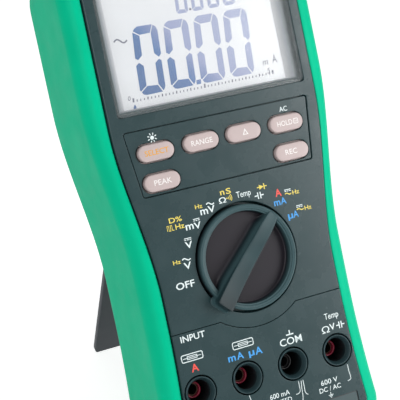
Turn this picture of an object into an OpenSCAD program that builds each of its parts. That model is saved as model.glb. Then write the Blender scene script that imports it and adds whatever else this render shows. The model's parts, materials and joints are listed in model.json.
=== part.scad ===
// Handheld digital multimeter in a rubber holster, leaning back on its tilt stand.
// Every piece is drawn lying flat: x runs across the face, y up it and z out of it, with the origin on the
// face at the middle of the row of input jacks. placed() then leans the meter back and stands it on z = 0.

/* [Stance] */
// Angle that the face leans back from upright
lean_angle = 27.7; // [20:0.1:34]
// Angle between the open tilt stand and the back of the holster
stand_angle = 45.7; // [36:0.1:50]
// Thickness of the flat ground off the holster's heel where it stands
heel_flat = 0.6; // [0.4:0.1:1]

/* [Face] */
// Width of the face outside the outer jacks' shrouds at its waist
waist_half = 0.8; // [0.7:0.1:2]
// Half the width of the face beside the display
head_half = 41.6; // [40.5:0.1:44]
// Extra half width of the face at its lower end
foot_flare = 3.2; // [0:0.1:4]
// Height where the face starts to narrow towards its foot
waist_low = 25; // [15:1:30]
// Height where the face starts to widen towards its head
waist_high = 35; // [30:1:40]
// Height where the face has reached its full width
head_low = 98; // [90:1:104]
// Distance from the jack row down to the lower end of the face
face_foot = 26.5; // [25:0.5:28]
// Height of the upper end of the face above the lens
face_top = 6.3; // [5.5:0.1:9]
// Corner radius at the upper end of the face
face_corner_top = 11; // [8:0.5:14]
// Corner radius at the lower end of the face
face_corner_foot = 6; // [4:0.5:8]

/* [Case] */
// Depth of the case from the face to its back
case_depth = 37.5; // [37:0.1:42]
// Depth of the parting line between the front and the rear case
split_depth = 17; // [15:0.5:19]
// Thickness of the case walls
case_wall = 2.2; // [1.8:0.1:2.6]
// Thickness of the front case behind the face
face_thick = 3.4; // [3.2:0.1:3.6]
// Width of case rim that the holster's side lips cover
lip_over = 2.2; // [1.8:0.1:2.8]
// Width of case rim that the holster's end lips cover
end_over = 3.5; // [3:0.1:4.5]
// Gap between the face and the holster's lips
face_gap = 0.3; // [0.2:0.1:0.5]

/* [Holster] */
// Thickness of the holster's side walls
holster_side = 4.7; // [4:0.1:6]
// Thickness of the holster's end walls
holster_end = 4.5; // [4:0.1:6]
// Thickness of the holster's back
holster_back = 5.5; // [5.2:0.1:7]
// Thickness of the lips that hold the case in
lip_thick = 2.2; // [1.8:0.1:2.4]
// Distance of the lips below the face
lip_drop = 1; // [0.6:0.1:1.2]
// Width of the rounding from the lips to the sides
lip_round_width = 5.4; // [4:0.1:6]
// Depth of the rounding from the lips to the sides
lip_round_depth = 7; // [5:0.1:9]
// Radius of the holster's rear edges
back_round = 5; // [4:0.1:6]
// Height where the holster's sides start to widen
side_low = 42; // [38:1:48]
// Height where the holster's sides have reached full width
side_high = 108; // [100:1:114]
// Clearance between the holster and the case
holster_fit = 0.2; // [0.1:0.05:0.3]

/* [Tilt stand] */
// Half the width of the stand's plate
stand_half = 31.4; // [26:0.1:32]
// Thickness of the stand's plate
stand_thick = 2.5; // [2:0.1:3]
// Height of the stand's hinge on the holster's back
hinge_height = 72; // [66:1:80]
// Radius of the stand's hinge pins
pin_r = 1.7; // [1.2:0.1:1.8]
// Length of each hinge pin outside the plate
pin_length = 4.5; // [3:0.1:5]
// Running clearance of a hinge pin in its lug
pin_fit = 0.08; // [0.04:0.01:0.1]
// Clearance round the folded stand in its recess
stand_gap = 0.6; // [0.4:0.1:1]
// Radius of the hinge lugs on the holster's back
lug_r = 4.2; // [3.8:0.1:5]
// Radius of the stand's foot corners
stand_corner = 5.5; // [3:0.5:8]

/* [Display] */
// Half the width of the display lens
lens_half = 37.4; // [36:0.1:38]
// Height of the lens's lower edge above the keypad bezel
lens_foot = 5.55; // [5:0.05:6.5]
// Height of the lens from edge to edge
lens_height = 48.9; // [47:0.1:50]
// Thickness of the lens
lens_thick = 1.8; // [1.4:0.1:2]
// Distance of the lens below the face
lens_drop = 0.3; // [0.1:0.1:0.5]
// Corner radius of the lens
lens_corner = 2; // [1:0.5:3]
// Half the width of the display's white area
view_half = 31.7; // [30:0.1:32]
// Width of the bezel's sloped border below and above the display
view_border = 2.6; // [2:0.1:4]
// Depth of the display glass below the face
glass_depth = 5; // [4.8:0.1:5.4]
// Thickness of the display glass
glass_thick = 2; // [1.6:0.1:2.2]
// Thickness of the light guide and the connector strips behind the glass
guide_thick = 1.8; // [1.5:0.1:2]

/* [Keypad] */
// Height of the keypad bezel's upper edge above its lower edge
keypad_top = 23.35; // [22.5:0.05:24.5]
// Height of the keypad bezel's lower edge above the knob's centre
keypad_foot = 29.5; // [28.5:0.1:31]
// Half the width of the keypad bezel along its upper edge
keypad_top_half = 36.7; // [36:0.1:37.2]
// Half the width of the keypad bezel along its lower edge
keypad_foot_half = 34.2; // [33.8:0.1:35]
// Distance of the keypad bezel below the face
keypad_drop = 0.35; // [0.2:0.05:0.5]
// Thickness of the keypad bezel
keypad_thick = 2; // [1.6:0.1:2.2]
// Gap round the keypad bezel
keypad_gap = 0.3; // [0.15:0.05:0.4]
// Length of a button
button_length = 14.6; // [13:0.1:15.5]
// Width of a button
button_width = 6.9; // [6:0.1:7.5]
// Height of a button above the face
button_rise = 1.1; // [1:0.1:1.5]
// Travel of a button
button_travel = 0.9; // [0.6:0.1:1]
// Clearance round a button in its hole
button_fit = 0.25; // [0.15:0.05:0.3]
// Width of the rim that holds a button in
button_rim = 0.8; // [0.6:0.1:1]
// Height of the upper button row above the lower row
row_high = 10.7; // [10.4:0.1:11.2]
// Height of the lower button row above the keypad bezel's lower edge
row_low = 4.3; // [4.1:0.1:4.5]
// Distance of the outer buttons from the middle
column_outer = 26.3; // [25.5:0.1:26.6]
// Distance of the inner buttons from the middle
column_inner = 8.6; // [8.4:0.1:9]

/* [Selector] */
// Height of the knob's centre above the jack row
knob_height = 42.9; // [42.5:0.1:44]
// Radius of the knob's skirt
knob_r = 19.3; // [18.8:0.1:19.8]
// Height of the knob's rim above the face
rim_height = 2.1; // [1:0.1:3]
// Width of the knob's rim
rim_width = 1.7; // [1.3:0.1:3]
// Height of the grip bar's raised tail above the face
bar_height = 5.8; // [5:0.1:8]
// Height of the grip bar above the face from its middle on
bar_saddle = 2.9; // [2.5:0.1:4.5]
// Reach of the grip bar's tail from the knob's centre
bar_tail = 21; // [20:0.1:22.5]
// Width of the grip bar's top at its tail
tail_width = 6.7; // [5:0.1:7.5]
// Width of the grip bar's top at its middle
bar_width = 5.6; // [4.5:0.1:6.5]
// Width of the grip bar's top at its pointer end
tip_width = 3.8; // [3:0.1:5]
// Depth of the dish that the knob turns in
dish_depth = 4.4; // [4:0.1:4.6]
// Clearance round the knob and under it
knob_gap = 1; // [0.5:0.1:1.2]
// Angle between two positions of the selector
detent_step = 18; // [18]
// Direction of the pointer at rest, from the x axis
rest_direction = 45; // [45]
// Radius of the knob's hub
hub_r = 7; // [6:0.1:7.5]
// Running clearance of the hub in its bearing
hub_fit = 0.06; // [0.03:0.01:0.1]
// Length of the bearing below the dish
bearing_length = 5; // [4:0.1:6]
// Radius of the shaft between the knob and the rotor
shaft_r = 4; // [3:0.1:4.5]
// Radius of the contact rotor
rotor_r = 16; // [15:0.1:17]
// Thickness of the contact rotor
rotor_thick = 2.6; // [2:0.1:3]

/* [Input jacks] */
// Distance between neighbouring jacks
jack_pitch = 19; // [18.8:0.05:19.2]
// Radius of a jack's well, for a shrouded plug
well_r = 4.35; // [4.2:0.05:4.5]
// Outer radius of a jack's shroud
shroud_r = 5.8; // [5.6:0.1:6]
// Height of a shroud's collar above the face
collar_rise = 0.2; // [0.1:0.1:0.8]
// Radius of the coloured sleeve round a socket
sleeve_r = 3.1; // [3:0.05:3.2]
// Depth of the sleeve's end below the face
sleeve_depth = 7.4; // [7:0.1:8]
// Radius of the socket's bore, for a 4 mm plug
socket_bore_r = 2; // [2:0.01:2.02]
// Wall thickness of a socket
socket_wall = 0.5; // [0.4:0.05:0.5]
// Length of a socket's bore
socket_length = 17; // [16.5:0.5:18]

/* [Boards] */
// Depth of the main board's front below the face
board_depth = 20; // [19.5:0.1:20.4]
// Thickness of both boards
board_thick = 1.6; // [1.2:0.1:1.6]
// Width of the main board outside the centres of the outer jacks
board_half = 5.1; // [4:0.1:5.5]
// Distance of the main board's lower edge below the jack row
board_foot = 12.5; // [11.5:0.5:13]
// Height of the main board's upper edge above the lower edge of the battery door
board_top = 0.5; // [0.3:0.1:0.8]

/* [Battery and fuses] */
// Length of the 9 V battery
battery_length = 48.5; // [46:0.5:48.5]
// Width of the 9 V battery
battery_width = 26.5; // [24:0.5:27]
// Thickness of the 9 V battery
battery_thick = 17.3; // [15:0.1:17.5]
// Radius of the large fuse
fuse_large_r = 5.15; // [4.5:0.05:5.2]
// Radius of the small fuse
fuse_small_r = 3.2; // [2.5:0.05:3.5]
// Length of both fuses
fuse_length = 38; // [32:1:40]

/* [Hidden] */
$fn = 48;

rubber_green = [0.02, 0.64, 0.47];
slate = [0.22, 0.28, 0.30];
slate_dark = [0.13, 0.14, 0.15];
key_grey = [0.78, 0.73, 0.72];
board_green = [0.10, 0.38, 0.22];
brass_gold = [0.80, 0.65, 0.30];
steel_grey = [0.70, 0.71, 0.73];
jack_red = [0.60, 0.10, 0.20];

// ---- outlines of the face, the case and the holster ----
arc_steps = 6;
flank_steps = 26;
lip_under = lip_drop + lip_thick + holster_fit;
outer_jack = 1.5 * jack_pitch;
waist = outer_jack + shroud_r + waist_half;
board_side = outer_jack + board_half;
keypad_low = knob_height + keypad_foot;
keypad_head = keypad_low + keypad_top;
row_low_y = keypad_low + row_low;
row_high_y = row_low_y + row_high;
lens_low = keypad_head + lens_foot;
lens_top = lens_low + lens_height;
face_head = lens_top + face_top;
case_foot = face_foot + end_over;
case_top = face_head + end_over;
holster_grow = lip_over + holster_side;
holster_foot = case_foot + holster_end;
holster_top = case_top + holster_end;
holster_depth = case_depth + holster_back;

function ease(t) = let (c = min(max(t, 0), 1)) c * c * (3 - 2 * c);

// Half width of the face at height y, widening from low to high
function half_at(y, low, high) = waist + (head_half - waist) * ease((y - low) / (high - low))
    + foot_flare * pow(max(0, waist_low - y) / (waist_low + case_foot), 2);

// Right half of an outline from foot to top, with round corners, counterclockwise
function right_half(foot, top, r_foot, r_top, grow, low, high) = concat(
    [for (i = [0:arc_steps]) let (a = 90 * i / arc_steps - 90)
        [half_at(r_foot - foot, low, high) + grow - r_foot * (1 - cos(a)), r_foot * (1 + sin(a)) - foot]],
    [for (i = [1:flank_steps - 1]) let (y = r_foot - foot + (top - r_top - r_foot + foot) * i / flank_steps)
        [half_at(y, low, high) + grow, y]],
    [for (i = [0:arc_steps]) let (a = 90 * i / arc_steps)
        [half_at(top - r_top, low, high) + grow - r_top * (1 - cos(a)), top - r_top * (1 - sin(a))]]);

function both_halves(right) = concat(right, [for (i = [len(right) - 1:-1:0]) [-right[i][0], right[i][1]]]);

function face_points(grow) = both_halves(right_half(face_foot + grow, face_head + grow,
    face_corner_foot + grow, face_corner_top + grow, grow, waist_high, head_low));

// The case is the face with its rim, which the lips cover
function case_points(grow) = both_halves(right_half(case_foot + grow, case_top + grow,
    face_corner_foot + lip_over + grow, face_corner_top + lip_over + grow, lip_over + grow,
    waist_high, head_low));

function holster_points(inset) = both_halves(right_half(holster_foot - inset, holster_top - inset,
    face_corner_foot + holster_grow - inset, face_corner_top + holster_grow - inset,
    holster_grow - inset, side_low, side_high));

module slab(points, low, high) {
    translate([0, 0, low]) linear_extrude(high - low) polygon(points);
}

module block(x0, x1, y0, y1, z0, z1) {
    translate([x0, y0, z0]) cube([x1 - x0, y1 - y0, z1 - z0]);
}

module disc(x, y, r, z0, z1) {
    translate([x, y, z0]) cylinder(r = r, h = z1 - z0);
}

module tube(x, y, r_out, r_in, z0, z1) {
    difference() {
        disc(x, y, r_out, z0, z1);
        disc(x, y, r_in, z0 - 1, z1 + 1);
    }
}

module mirrored() {
    children();
    mirror([1, 0, 0]) children();
}

// ---- how the flat meter stands on the bench ----
round_steps = 4;
// Depth and inset of the holster's outer skin, from its back to its lips
skin = concat(
    [for (i = [0:round_steps]) let (a = 90 * i / round_steps)
        [back_round * (1 - cos(a)) - holster_depth, back_round * (1 - sin(a))]],
    [for (i = [0:round_steps]) let (a = 90 * i / round_steps)
        [-lip_drop - lip_round_depth * (1 - sin(a)), lip_round_width * (1 - cos(a))]]);

heel_y = back_round - holster_foot;
heel_z = back_round - holster_depth;
bench_level = heel_y * cos(lean_angle) + heel_z * sin(lean_angle) - back_round + heel_flat;
front_reach = min([for (s = skin) (s[1] - holster_foot) * sin(lean_angle) - s[0] * cos(lean_angle)]);
rear_reach = max([for (s = skin) (holster_top - s[1]) * sin(lean_angle) - s[0] * cos(lean_angle)]);

module placed() {
    translate([0, -(front_reach + rear_reach) / 2, -bench_level]) rotate([90 - lean_angle, 0, 0]) children();
}

bench_size = 400;
module below_bench() {
    rotate([lean_angle - 90, 0, 0]) translate([-bench_size / 2, -bench_size, bench_level - bench_size])
        cube([bench_size, 2 * bench_size, bench_size]);
}

// ---- tilt stand and its hinge ----
hinge_z = stand_thick / 2 - holster_depth;
knuckle_r = max(pin_r, stand_thick / 2) + 0.3;
recess_margin = 3;
recess_floor = hinge_z + knuckle_r + stand_gap;
// The plate's upper edge meets the floor of the recess when the stand is open
stop_reach = (recess_floor - hinge_z - stand_thick / 2 * cos(stand_angle)) / sin(stand_angle) - 0.05;
// The corner of that edge swings past the upper end of the recess
recess_top = hinge_height + norm([stop_reach, stand_thick / 2]) + stand_gap;
// Drop from the hinge to the bench, which sets the length of the stand
hinge_drop = hinge_height * cos(lean_angle) + hinge_z * sin(lean_angle) - bench_level;
stand_reach = hinge_drop / cos(stand_angle - lean_angle);
lug_inner = stand_half + stand_gap;
pin_end = stand_half + pin_length;
lug_outer = pin_end + 1;

// ---- layers behind the face ----
rim_roof = -lip_under - 2;
case_back = -case_depth;
gasket_half = 0.5;
floor_top = case_back + case_wall;
lens_z = -lens_drop - lens_thick;
lens_fit = 0.12;
lens_ledge = 1;
funnel_half = lens_half - 0.8;
display_post_r = 2.3;
key_wall = 1.2;
glass_top_z = -glass_depth - 0.1;
glass_z = glass_top_z - glass_thick;
display_board_z = glass_z - guide_thick;
display_board_back = display_board_z - board_thick;
glass_edge = 1;
glass_half = view_half + 1.6;
glass_foot = lens_low + view_border - glass_edge;
glass_top = lens_top - view_border + glass_edge;
holder_wall = 1;
holder_ear = 2.4;
holder_fit = 0.1;
bezel_fit = 0.15;
bezel_rim = 0.6;
main_z = -board_depth;
main_back = main_z - board_thick;

// ---- keypad ----
bezel_top_z = -keypad_drop;
bezel_z = bezel_top_z - keypad_thick;
key_floor_z = bezel_z - 1.8;
rim_thick = 0.8;
button_z = bezel_z - rim_thick;
mat_sheet = 1;
mat_top_z = display_board_z + mat_sheet;
dome_top_z = button_z - button_travel - 0.05;
keypad_foot_y = row_low_y - 8;
button_places = [[-column_outer, row_high_y], [-column_inner, row_high_y], [column_inner, row_high_y],
    [column_outer, row_high_y], [-column_outer, row_low_y], [column_outer, row_low_y]];

function keypad_points(grow) = both_halves([[keypad_foot_half + grow, keypad_low - grow],
    [keypad_top_half + grow, keypad_head + grow]]);

module pill(place, grow, z0, z1) {
    reach = (button_length - button_width) / 2;
    translate([place[0], place[1], z0]) linear_extrude(z1 - z0) {
        translate([-reach, -button_width / 2 - grow]) square([2 * reach, button_width + 2 * grow]);
        mirrored() translate([reach, 0]) circle(r = button_width / 2 + grow);
    }
}

// ---- selector ----
dish_r = knob_r + knob_gap;
dish_wall = 1.8;
dish_z = -dish_depth;
dish_back = dish_z - dish_wall;
knob_z = dish_z + knob_gap;
bearing_end = dish_back - bearing_length;
detent_z0 = bearing_end - 4.2;
detent_z1 = bearing_end - 0.4;
bearing_wall = 2.4;
ring_skirt = 1.6;
shaft_fit = 0.05;
rotor_lift = 0.8;
carrier_r = 13.4;
ball_r = 1.5;
ring_inner = carrier_r + 1.2;
ring_outer = ring_inner + 2.6;
rotor_z = main_z + rotor_lift;
rotor_top = rotor_z + rotor_thick;
track_thick = 0.1;
contact_gap = 0.05;

// ---- jacks ----
sleeve_lip = 1.5;
sleeve_mouth = 0.4;
foot_thick = 1;
jack_x = [for (i = [0:3]) (i - 1.5) * jack_pitch];
socket_top = -sleeve_depth - sleeve_lip;
socket_end = socket_top - socket_length;
socket_r = socket_bore_r + socket_wall;
shroud_fit = 0.55;
collar_edge = 0.4;
mouth_depth = 1.7;

// ---- battery bay, from the head of the case down ----
bay_wall = 1.6;
bay_fit = 0.4;
bay_depth = 24;
door_half = battery_width / 2 + 5.25;
door_top = case_top - 4;
door_land = 6.2;
door_step = 1.2;
door_fit = 0.2;
battery_foot = door_top - door_land - 0.3 - battery_length;
stud_r = 3;
stud_height = 2.2;
stud_x = 6.3;
snap_thick = 3;
snap_y = battery_foot - stud_height - snap_thick;
door_foot = snap_y - 2.3;
door_screw_x = door_half - 4;
door_screw_y = door_top - 2.6;
board_head = door_foot + board_top;

// ---- screws and posts ----
screw_r = 1.2;
screw_fit = 0.4;
post_r = 3.4;
main_post_r = 3;
case_screw_places = [[29.5, 4.5 - face_foot], [36, face_head - 3.3]];
head_r = 2.6;
head_height = 1.8;
head_sink = 2.5;
door_head = 0.15;
door_screw_length = 4.6;
screw_bite = 5;
small_screw_r = 0.8;
small_head_r = 1.9;
small_head_height = 1.3;
small_hole_r = 1;
board_screw_length = 5;
board_margin = 3.4;
tab_margin = 3.1;
tab_screw_x = 28;
tab_reach = 6;
main_screw_places = [[jack_pitch, board_margin - board_foot],
    [board_side - board_margin, board_head - board_margin]];
display_screw_places = [[board_side - 3.6, (keypad_head + lens_low) / 2],
    [tab_screw_x, lens_top + tab_reach - tab_margin]];

// ==== holster and stand ====
// The loft runs past the holster's flat back and lips, where flat cuts end it
module skin_loft() {
    spare = 2;
    levels = concat([[skin[0][0] - spare, skin[0][1]]], skin, [[spare - lip_drop, lip_round_width]]);
    rings = [for (s = levels) [for (p = holster_points(s[1])) [p[0], p[1], s[0]]]];
    n = len(rings[0]);
    last = len(rings) - 1;
    polyhedron(points = [for (r = rings) each r], faces = concat(
        [[for (i = [0:n - 1]) i], [for (i = [n - 1:-1:0]) last * n + i]],
        [for (k = [0:last - 1], i = [0:n - 1])
            [k * n + i, (k + 1) * n + i, (k + 1) * n + (i + 1) % n, k * n + (i + 1) % n]]));
}

module stand_recess() {
    recess_half = stand_half + stand_gap;
    block(-recess_half, recess_half, recess_margin - holster_foot + back_round, recess_top,
        -holster_depth - 10, recess_floor);
}

module lug_bores() {
    mirrored() translate([lug_inner - 0.5, hinge_height, hinge_z]) rotate([0, 90, 0])
        cylinder(r = pin_r + pin_fit, h = pin_end - lug_inner + 0.8);
}

module holster() color(rubber_green) difference() {
    union() {
        intersection() {
            skin_loft();
            block(-bench_size, bench_size, -bench_size, bench_size, -holster_depth, -lip_drop);
        }
        mirrored() translate([stand_half - 2, hinge_height, hinge_z]) rotate([0, 90, 0])
            cylinder(r = lug_r, h = lug_outer - stand_half + 2);
    }
    slab(case_points(holster_fit), case_back - holster_fit, -lip_drop - lip_thick);
    slab(face_points(0), -lip_under - 1, 1);
    stand_recess();
    lug_bores();
    below_bench();
}

module stand_plate() {
    tip = stand_reach + stand_thick;
    corner_x = stand_half - stand_corner;
    corner_y = stand_corner - tip;
    linear_extrude(stand_thick) {
        translate([-stand_half, corner_y]) square([2 * stand_half, stop_reach - corner_y]);
        translate([-corner_x, -tip]) square([2 * corner_x, stand_corner + 1]);
        mirrored() translate([corner_x, corner_y]) circle(r = stand_corner);
    }
}

module tilt_stand() color(slate_dark) difference() {
    translate([0, hinge_height, hinge_z]) rotate([stand_angle, 0, 0]) {
        translate([0, 0, -stand_thick / 2]) stand_plate();
        mirrored() rotate([0, 90, 0]) cylinder(r = pin_r, h = pin_end);
    }
    below_bench();
}

// ==== case ====
module lens_outline(grow) {
    half = lens_half + grow;
    foot = lens_low - grow;
    top = lens_top + grow;
    translate([-half, foot + lens_corner]) square([2 * half, top - foot - 2 * lens_corner]);
    translate([lens_corner - half, foot]) square([2 * (half - lens_corner), top - foot]);
    mirrored() for (y = [foot + lens_corner, top - lens_corner])
        translate([half - lens_corner, y]) circle(r = lens_corner);
}

module button_holes() {
    for (place = button_places) {
        pill(place, button_fit, bezel_z - 1, 1);
        pill(place, button_rim + button_fit, key_floor_z - 2, bezel_z);
    }
}

// Land of the input panel: the face below the seam, which arcs round under the knob
seam_height = 22.5;
seam_r = 25.6;
seam_gap = 0.25;
label_half = 33.5;
label_foot = 1.2;
label_width = 8.3;
label_depth = 0.4;
module input_land(gap) {
    difference() {
        polygon(face_points(-face_gap));
        translate([-100, seam_height - gap]) square([200, 200]);
        translate([0, knob_height]) circle(r = seam_r + gap, $fn = 96);
    }
}

module front_shell() {
    difference() {
        union() {
            slab(case_points(0), -split_depth, -lip_under);
            slab(face_points(-face_gap), -lip_under - 1, 0);
        }
        slab(case_points(-case_wall), -split_depth - 1, rim_roof);
        slab(face_points(-face_gap - 2), rim_roof - 1, -face_thick);
        translate([0, 0, -face_thick]) linear_extrude(10) input_land(0);
        intersection() {
            slab(face_points(-face_gap - 2), rim_roof - 1, 1);
            translate([0, 0, rim_roof - 2]) linear_extrude(20) input_land(2);
        }
    }
}

module front_case() color(slate) difference() {
    union() {
        front_shell();
        disc(0, knob_height, dish_r + dish_wall, dish_back, -face_thick);
        slab(keypad_points(key_wall), key_floor_z, -face_thick);
        // Bearing of the selector's hub
        disc(0, knob_height, hub_r + bearing_wall, bearing_end, dish_back);
        // Posts for the case screws and for the display board
        mirrored() for (p = case_screw_places) disc(p[0], p[1], post_r, -split_depth, rim_roof + 0.5);
        mirrored() for (p = display_screw_places)
            disc(p[0], p[1], display_post_r, display_board_z, -face_thick + 0.2);
        // Skirt that centres the detent ring
        tube(0, knob_height, ring_outer + ring_skirt, ring_outer, detent_z0, dish_back);
    }
    gasket_ring();
    translate([0, 0, lens_z]) linear_extrude(lens_thick + 1) lens_outline(lens_fit);
    block(-funnel_half, funnel_half, lens_low + lens_ledge, lens_top - lens_ledge, -split_depth, 1);
    slab(keypad_points(keypad_gap), bezel_z, 1);
    button_holes();
    disc(0, knob_height, dish_r, dish_z, 1);
    disc(0, knob_height, hub_r + hub_fit, bearing_end - 1, 1);
    for (x = jack_x) disc(x, 0, shroud_r + shroud_fit, -split_depth, 1);
    mirrored() for (p = case_screw_places)
        disc(p[0], p[1], screw_r, -split_depth - 1, screw_bite + 3 - split_depth);
    mirrored() for (p = display_screw_places)
        disc(p[0], p[1], small_screw_r, display_board_z - 1, display_board_z + board_screw_length - 1);
}

module input_panel() color(slate) difference() {
    translate([0, 0, -face_thick]) linear_extrude(face_thick) input_land(seam_gap);
    for (x = jack_x) disc(x, 0, shroud_r + shroud_fit, -10, 1);
    // Shallow label recess along the foot
    block(-label_half, label_half, label_foot - face_foot, label_foot + label_width - face_foot,
        -label_depth, 1);
}

module keypad_bezel() color(slate) difference() {
    slab(keypad_points(0), bezel_z, bezel_top_z);
    for (place = button_places) pill(place, button_fit, bezel_z - 1, 1);
}

module rear_case() color(slate_dark) difference() {
    union() {
        difference() {
            slab(case_points(0), case_back, -split_depth);
            slab(case_points(-case_wall), floor_top, 0);
        }
        mirrored() for (p = case_screw_places) disc(p[0], p[1], post_r, case_back, -split_depth);
        mirrored() for (p = main_screw_places) disc(p[0], p[1], main_post_r, case_back, main_back);
        // Walls of the battery bay
        block(-battery_width / 2 - bay_fit - bay_wall, battery_width / 2 + bay_fit + bay_wall,
            door_foot - bay_wall, door_foot, floor_top - 1, -bay_depth);
        mirrored() block(battery_width / 2 + bay_fit, battery_width / 2 + bay_fit + bay_wall,
            door_foot - bay_wall, door_top - 4, floor_top - 1, -bay_depth);
        // Frame round the battery door's upper edge
        block(-door_half - 2, door_half + 2, door_top - door_land + 0.2, door_top + 1.5, case_back,
            floor_top + bay_wall);
    }
    gasket_ring();
    block(-door_half, door_half, door_foot, door_top, case_back - 1, case_back + door_step);
    block(door_step - door_half, door_half - door_step, door_foot + door_step, door_top - door_land,
        case_back - 1, floor_top + 3);
    mirrored() for (p = case_screw_places) {
        disc(p[0], p[1], screw_r + screw_fit, case_back - 1, 0);
        disc(p[0], p[1], head_r + 0.3, case_back - 1, case_back + head_sink);
    }
    mirrored() for (p = main_screw_places) disc(p[0], p[1], small_screw_r, main_back - board_screw_length, 0);
    mirrored() disc(door_screw_x, door_screw_y, small_screw_r, case_back - 1, floor_top + 3);
}

// Ring in a groove of both halves of the case, at their parting line
module gasket_ring() {
    difference() {
        slab(case_points(-0.3 * case_wall), -split_depth - gasket_half, -split_depth + gasket_half);
        slab(case_points(-0.7 * case_wall), -split_depth - 2, 0);
    }
}

module case_gasket() color([0.08, 0.08, 0.09]) gasket_ring();

module battery_door() color(slate_dark) difference() {
    inner = door_step + door_fit;
    union() {
        block(door_fit - door_half, door_half - door_fit, door_foot + door_fit, door_top - door_fit,
            case_back, case_back + door_step);
        block(inner - door_half, door_half - inner, door_foot + inner, door_top - door_land - door_fit,
            case_back, floor_top);
    }
    mirrored() disc(door_screw_x, door_screw_y, small_screw_r + 0.3, case_back - 1, 0);
}

// A pan-head screw with a cross recess, pointing up
module screw(x, y, head_z, length, r, r_head, h_head) {
    difference() {
        union() {
            disc(x, y, r_head, head_z, head_z + h_head);
            disc(x, y, r, head_z, head_z + length);
        }
        for (a = [0, 90]) translate([x, y, head_z]) rotate([0, 0, a])
            cube([1.4 * r_head, 0.35 * r_head, 0.9 * h_head], center = true);
    }
}

module case_screws() color(steel_grey) mirrored() for (p = case_screw_places)
    screw(p[0], p[1], case_back + head_sink - head_height, case_depth - split_depth + screw_bite, screw_r,
        head_r, head_height);

module door_screws() color(steel_grey) mirrored()
    screw(door_screw_x, door_screw_y, case_back - door_head, door_screw_length, small_screw_r, small_head_r,
        door_head);

// ==== display ====
module display_lens() color([0.80, 0.84, 0.86, 0.35]) translate([0, 0, lens_z])
    linear_extrude(lens_thick) lens_outline(0);

module display_bezel() color([0.60, 0.61, 0.63]) difference() {
    half = funnel_half - bezel_fit;
    edge = lens_ledge + bezel_fit;
    block(-half, half, lens_low + edge, lens_top - edge, -glass_depth, lens_z);
    hull() {
        block(-view_half, view_half, lens_low + view_border, lens_top - view_border, -glass_depth - 1,
            -glass_depth + 0.01);
        block(bezel_rim - half, half - bezel_rim, lens_low + edge + bezel_rim, lens_top - edge - bezel_rim,
            lens_z, lens_z + 1);
    }
}

module display_glass() color([0.86, 0.88, 0.90])
    block(-glass_half, glass_half, glass_foot, glass_top, glass_z, glass_top_z);

module display_holder() color([0.85, 0.85, 0.83]) difference() {
    block(-glass_half - holder_ear, glass_half + holder_ear, glass_foot - holder_wall,
        glass_top + holder_wall, display_board_z, glass_top_z);
    block(-glass_half - holder_fit, glass_half + holder_fit, glass_foot - holder_fit,
        glass_top + holder_fit, display_board_z - 1, 0);
}

strip_width = 2;
strip_inset = 0.4;
module light_guide() color([0.93, 0.95, 0.97])
    block(-view_half, view_half, glass_foot + strip_width + 2 * strip_inset,
        glass_top - strip_width - 2 * strip_inset, display_board_z, glass_z);

module connector_strips() color([0.30, 0.30, 0.34])
    for (y = [glass_foot + strip_inset, glass_top - strip_width - strip_inset])
        block(1 - view_half, view_half - 1, y, y + strip_width, display_board_z, glass_z);

module display_board() color(board_green) difference() {
    half = board_side + 0.8;
    tab_half = tab_screw_x + board_margin;
    union() {
        block(-half, half, keypad_foot_y, glass_top - 1, display_board_back, display_board_z);
        block(-tab_half, tab_half, glass_top - 2, lens_top + tab_reach, display_board_back,
            display_board_z);
    }
    mirrored() for (p = display_screw_places) disc(p[0], p[1], small_hole_r, -30, 0);
}

processor_side = 14;
chip_thick = 1.6;
module processor_chip() color([0.12, 0.12, 0.13])
    chip(-1.4 * processor_side, lens_low + processor_side, processor_side, display_board_back - chip_thick,
        display_board_back);

// A flat chip with legs on its four sides
leg_count = 12;
leg_length = 1.2;
module chip(x, y, side, z0, z1) {
    body = side - 2 * leg_length;
    pitch = body / (leg_count + 1);
    block(x - body / 2, x + body / 2, y - body / 2, y + body / 2, z0, z1);
    for (a = [0:90:270], i = [1:leg_count]) translate([x, y, z0]) rotate([0, 0, a])
        translate([body / 2 - 0.1, i * pitch - body / 2 - pitch / 4, 0.4])
        cube([leg_length + 0.1, pitch / 2, z1 - z0 - 0.8]);
}

// ==== keys ====
module button(place) color(key_grey) {
    pill(place, 0, button_z, button_rise);
    pill(place, button_rim, button_z, button_z + rim_thick);
}

module button_mode() button(button_places[0]);
module button_range() button(button_places[1]);
module button_relative() button(button_places[2]);
module button_hold() button(button_places[3]);
module button_peak() button(button_places[4]);
module button_record() button(button_places[5]);

dome_r = 2.6;
dome_wall = 0.5;
pill_r = 1.6;
pill_thick = 0.4;
pill_lift = 0.5;
mat_inset = 3;
module keypad_mat() color([0.75, 0.75, 0.73]) difference() {
    union() {
        block(mat_inset - board_side, board_side - mat_inset, keypad_foot_y + 1, keypad_head - 1.5,
            display_board_z, mat_top_z);
        for (place = button_places) disc(place[0], place[1], dome_r, mat_top_z - 0.1, dome_top_z);
    }
    for (place = button_places)
        disc(place[0], place[1], dome_r - dome_wall, display_board_z - 1,
            display_board_z + pill_lift + pill_thick);
}

module contact_pills() color([0.15, 0.15, 0.16]) for (place = button_places)
    disc(place[0], place[1], pill_r, display_board_z + pill_lift, display_board_z + pill_lift + pill_thick);

// ==== selector ====
pocket_z = -2;
pocket_slope = 1.6;
groove_depth = 1.5;
foot_spread = 5;
tail_spread = 1;
tail_clearance = 0.3;
bar_tip = knob_r - 0.5;
tip_rise = 0.2;
function bar_points(length_tail, length_tip, w_tail, w_tip) = [[-length_tail, -w_tail / 2],
    [length_tip, -w_tip / 2], [length_tip, w_tip / 2], [-length_tail, w_tail / 2]];

// The knob is drawn with its pointer along x and turned to its rest direction
module at_knob() {
    translate([0, knob_height, 0]) rotate([0, 0, rest_direction]) children();
}

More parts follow.
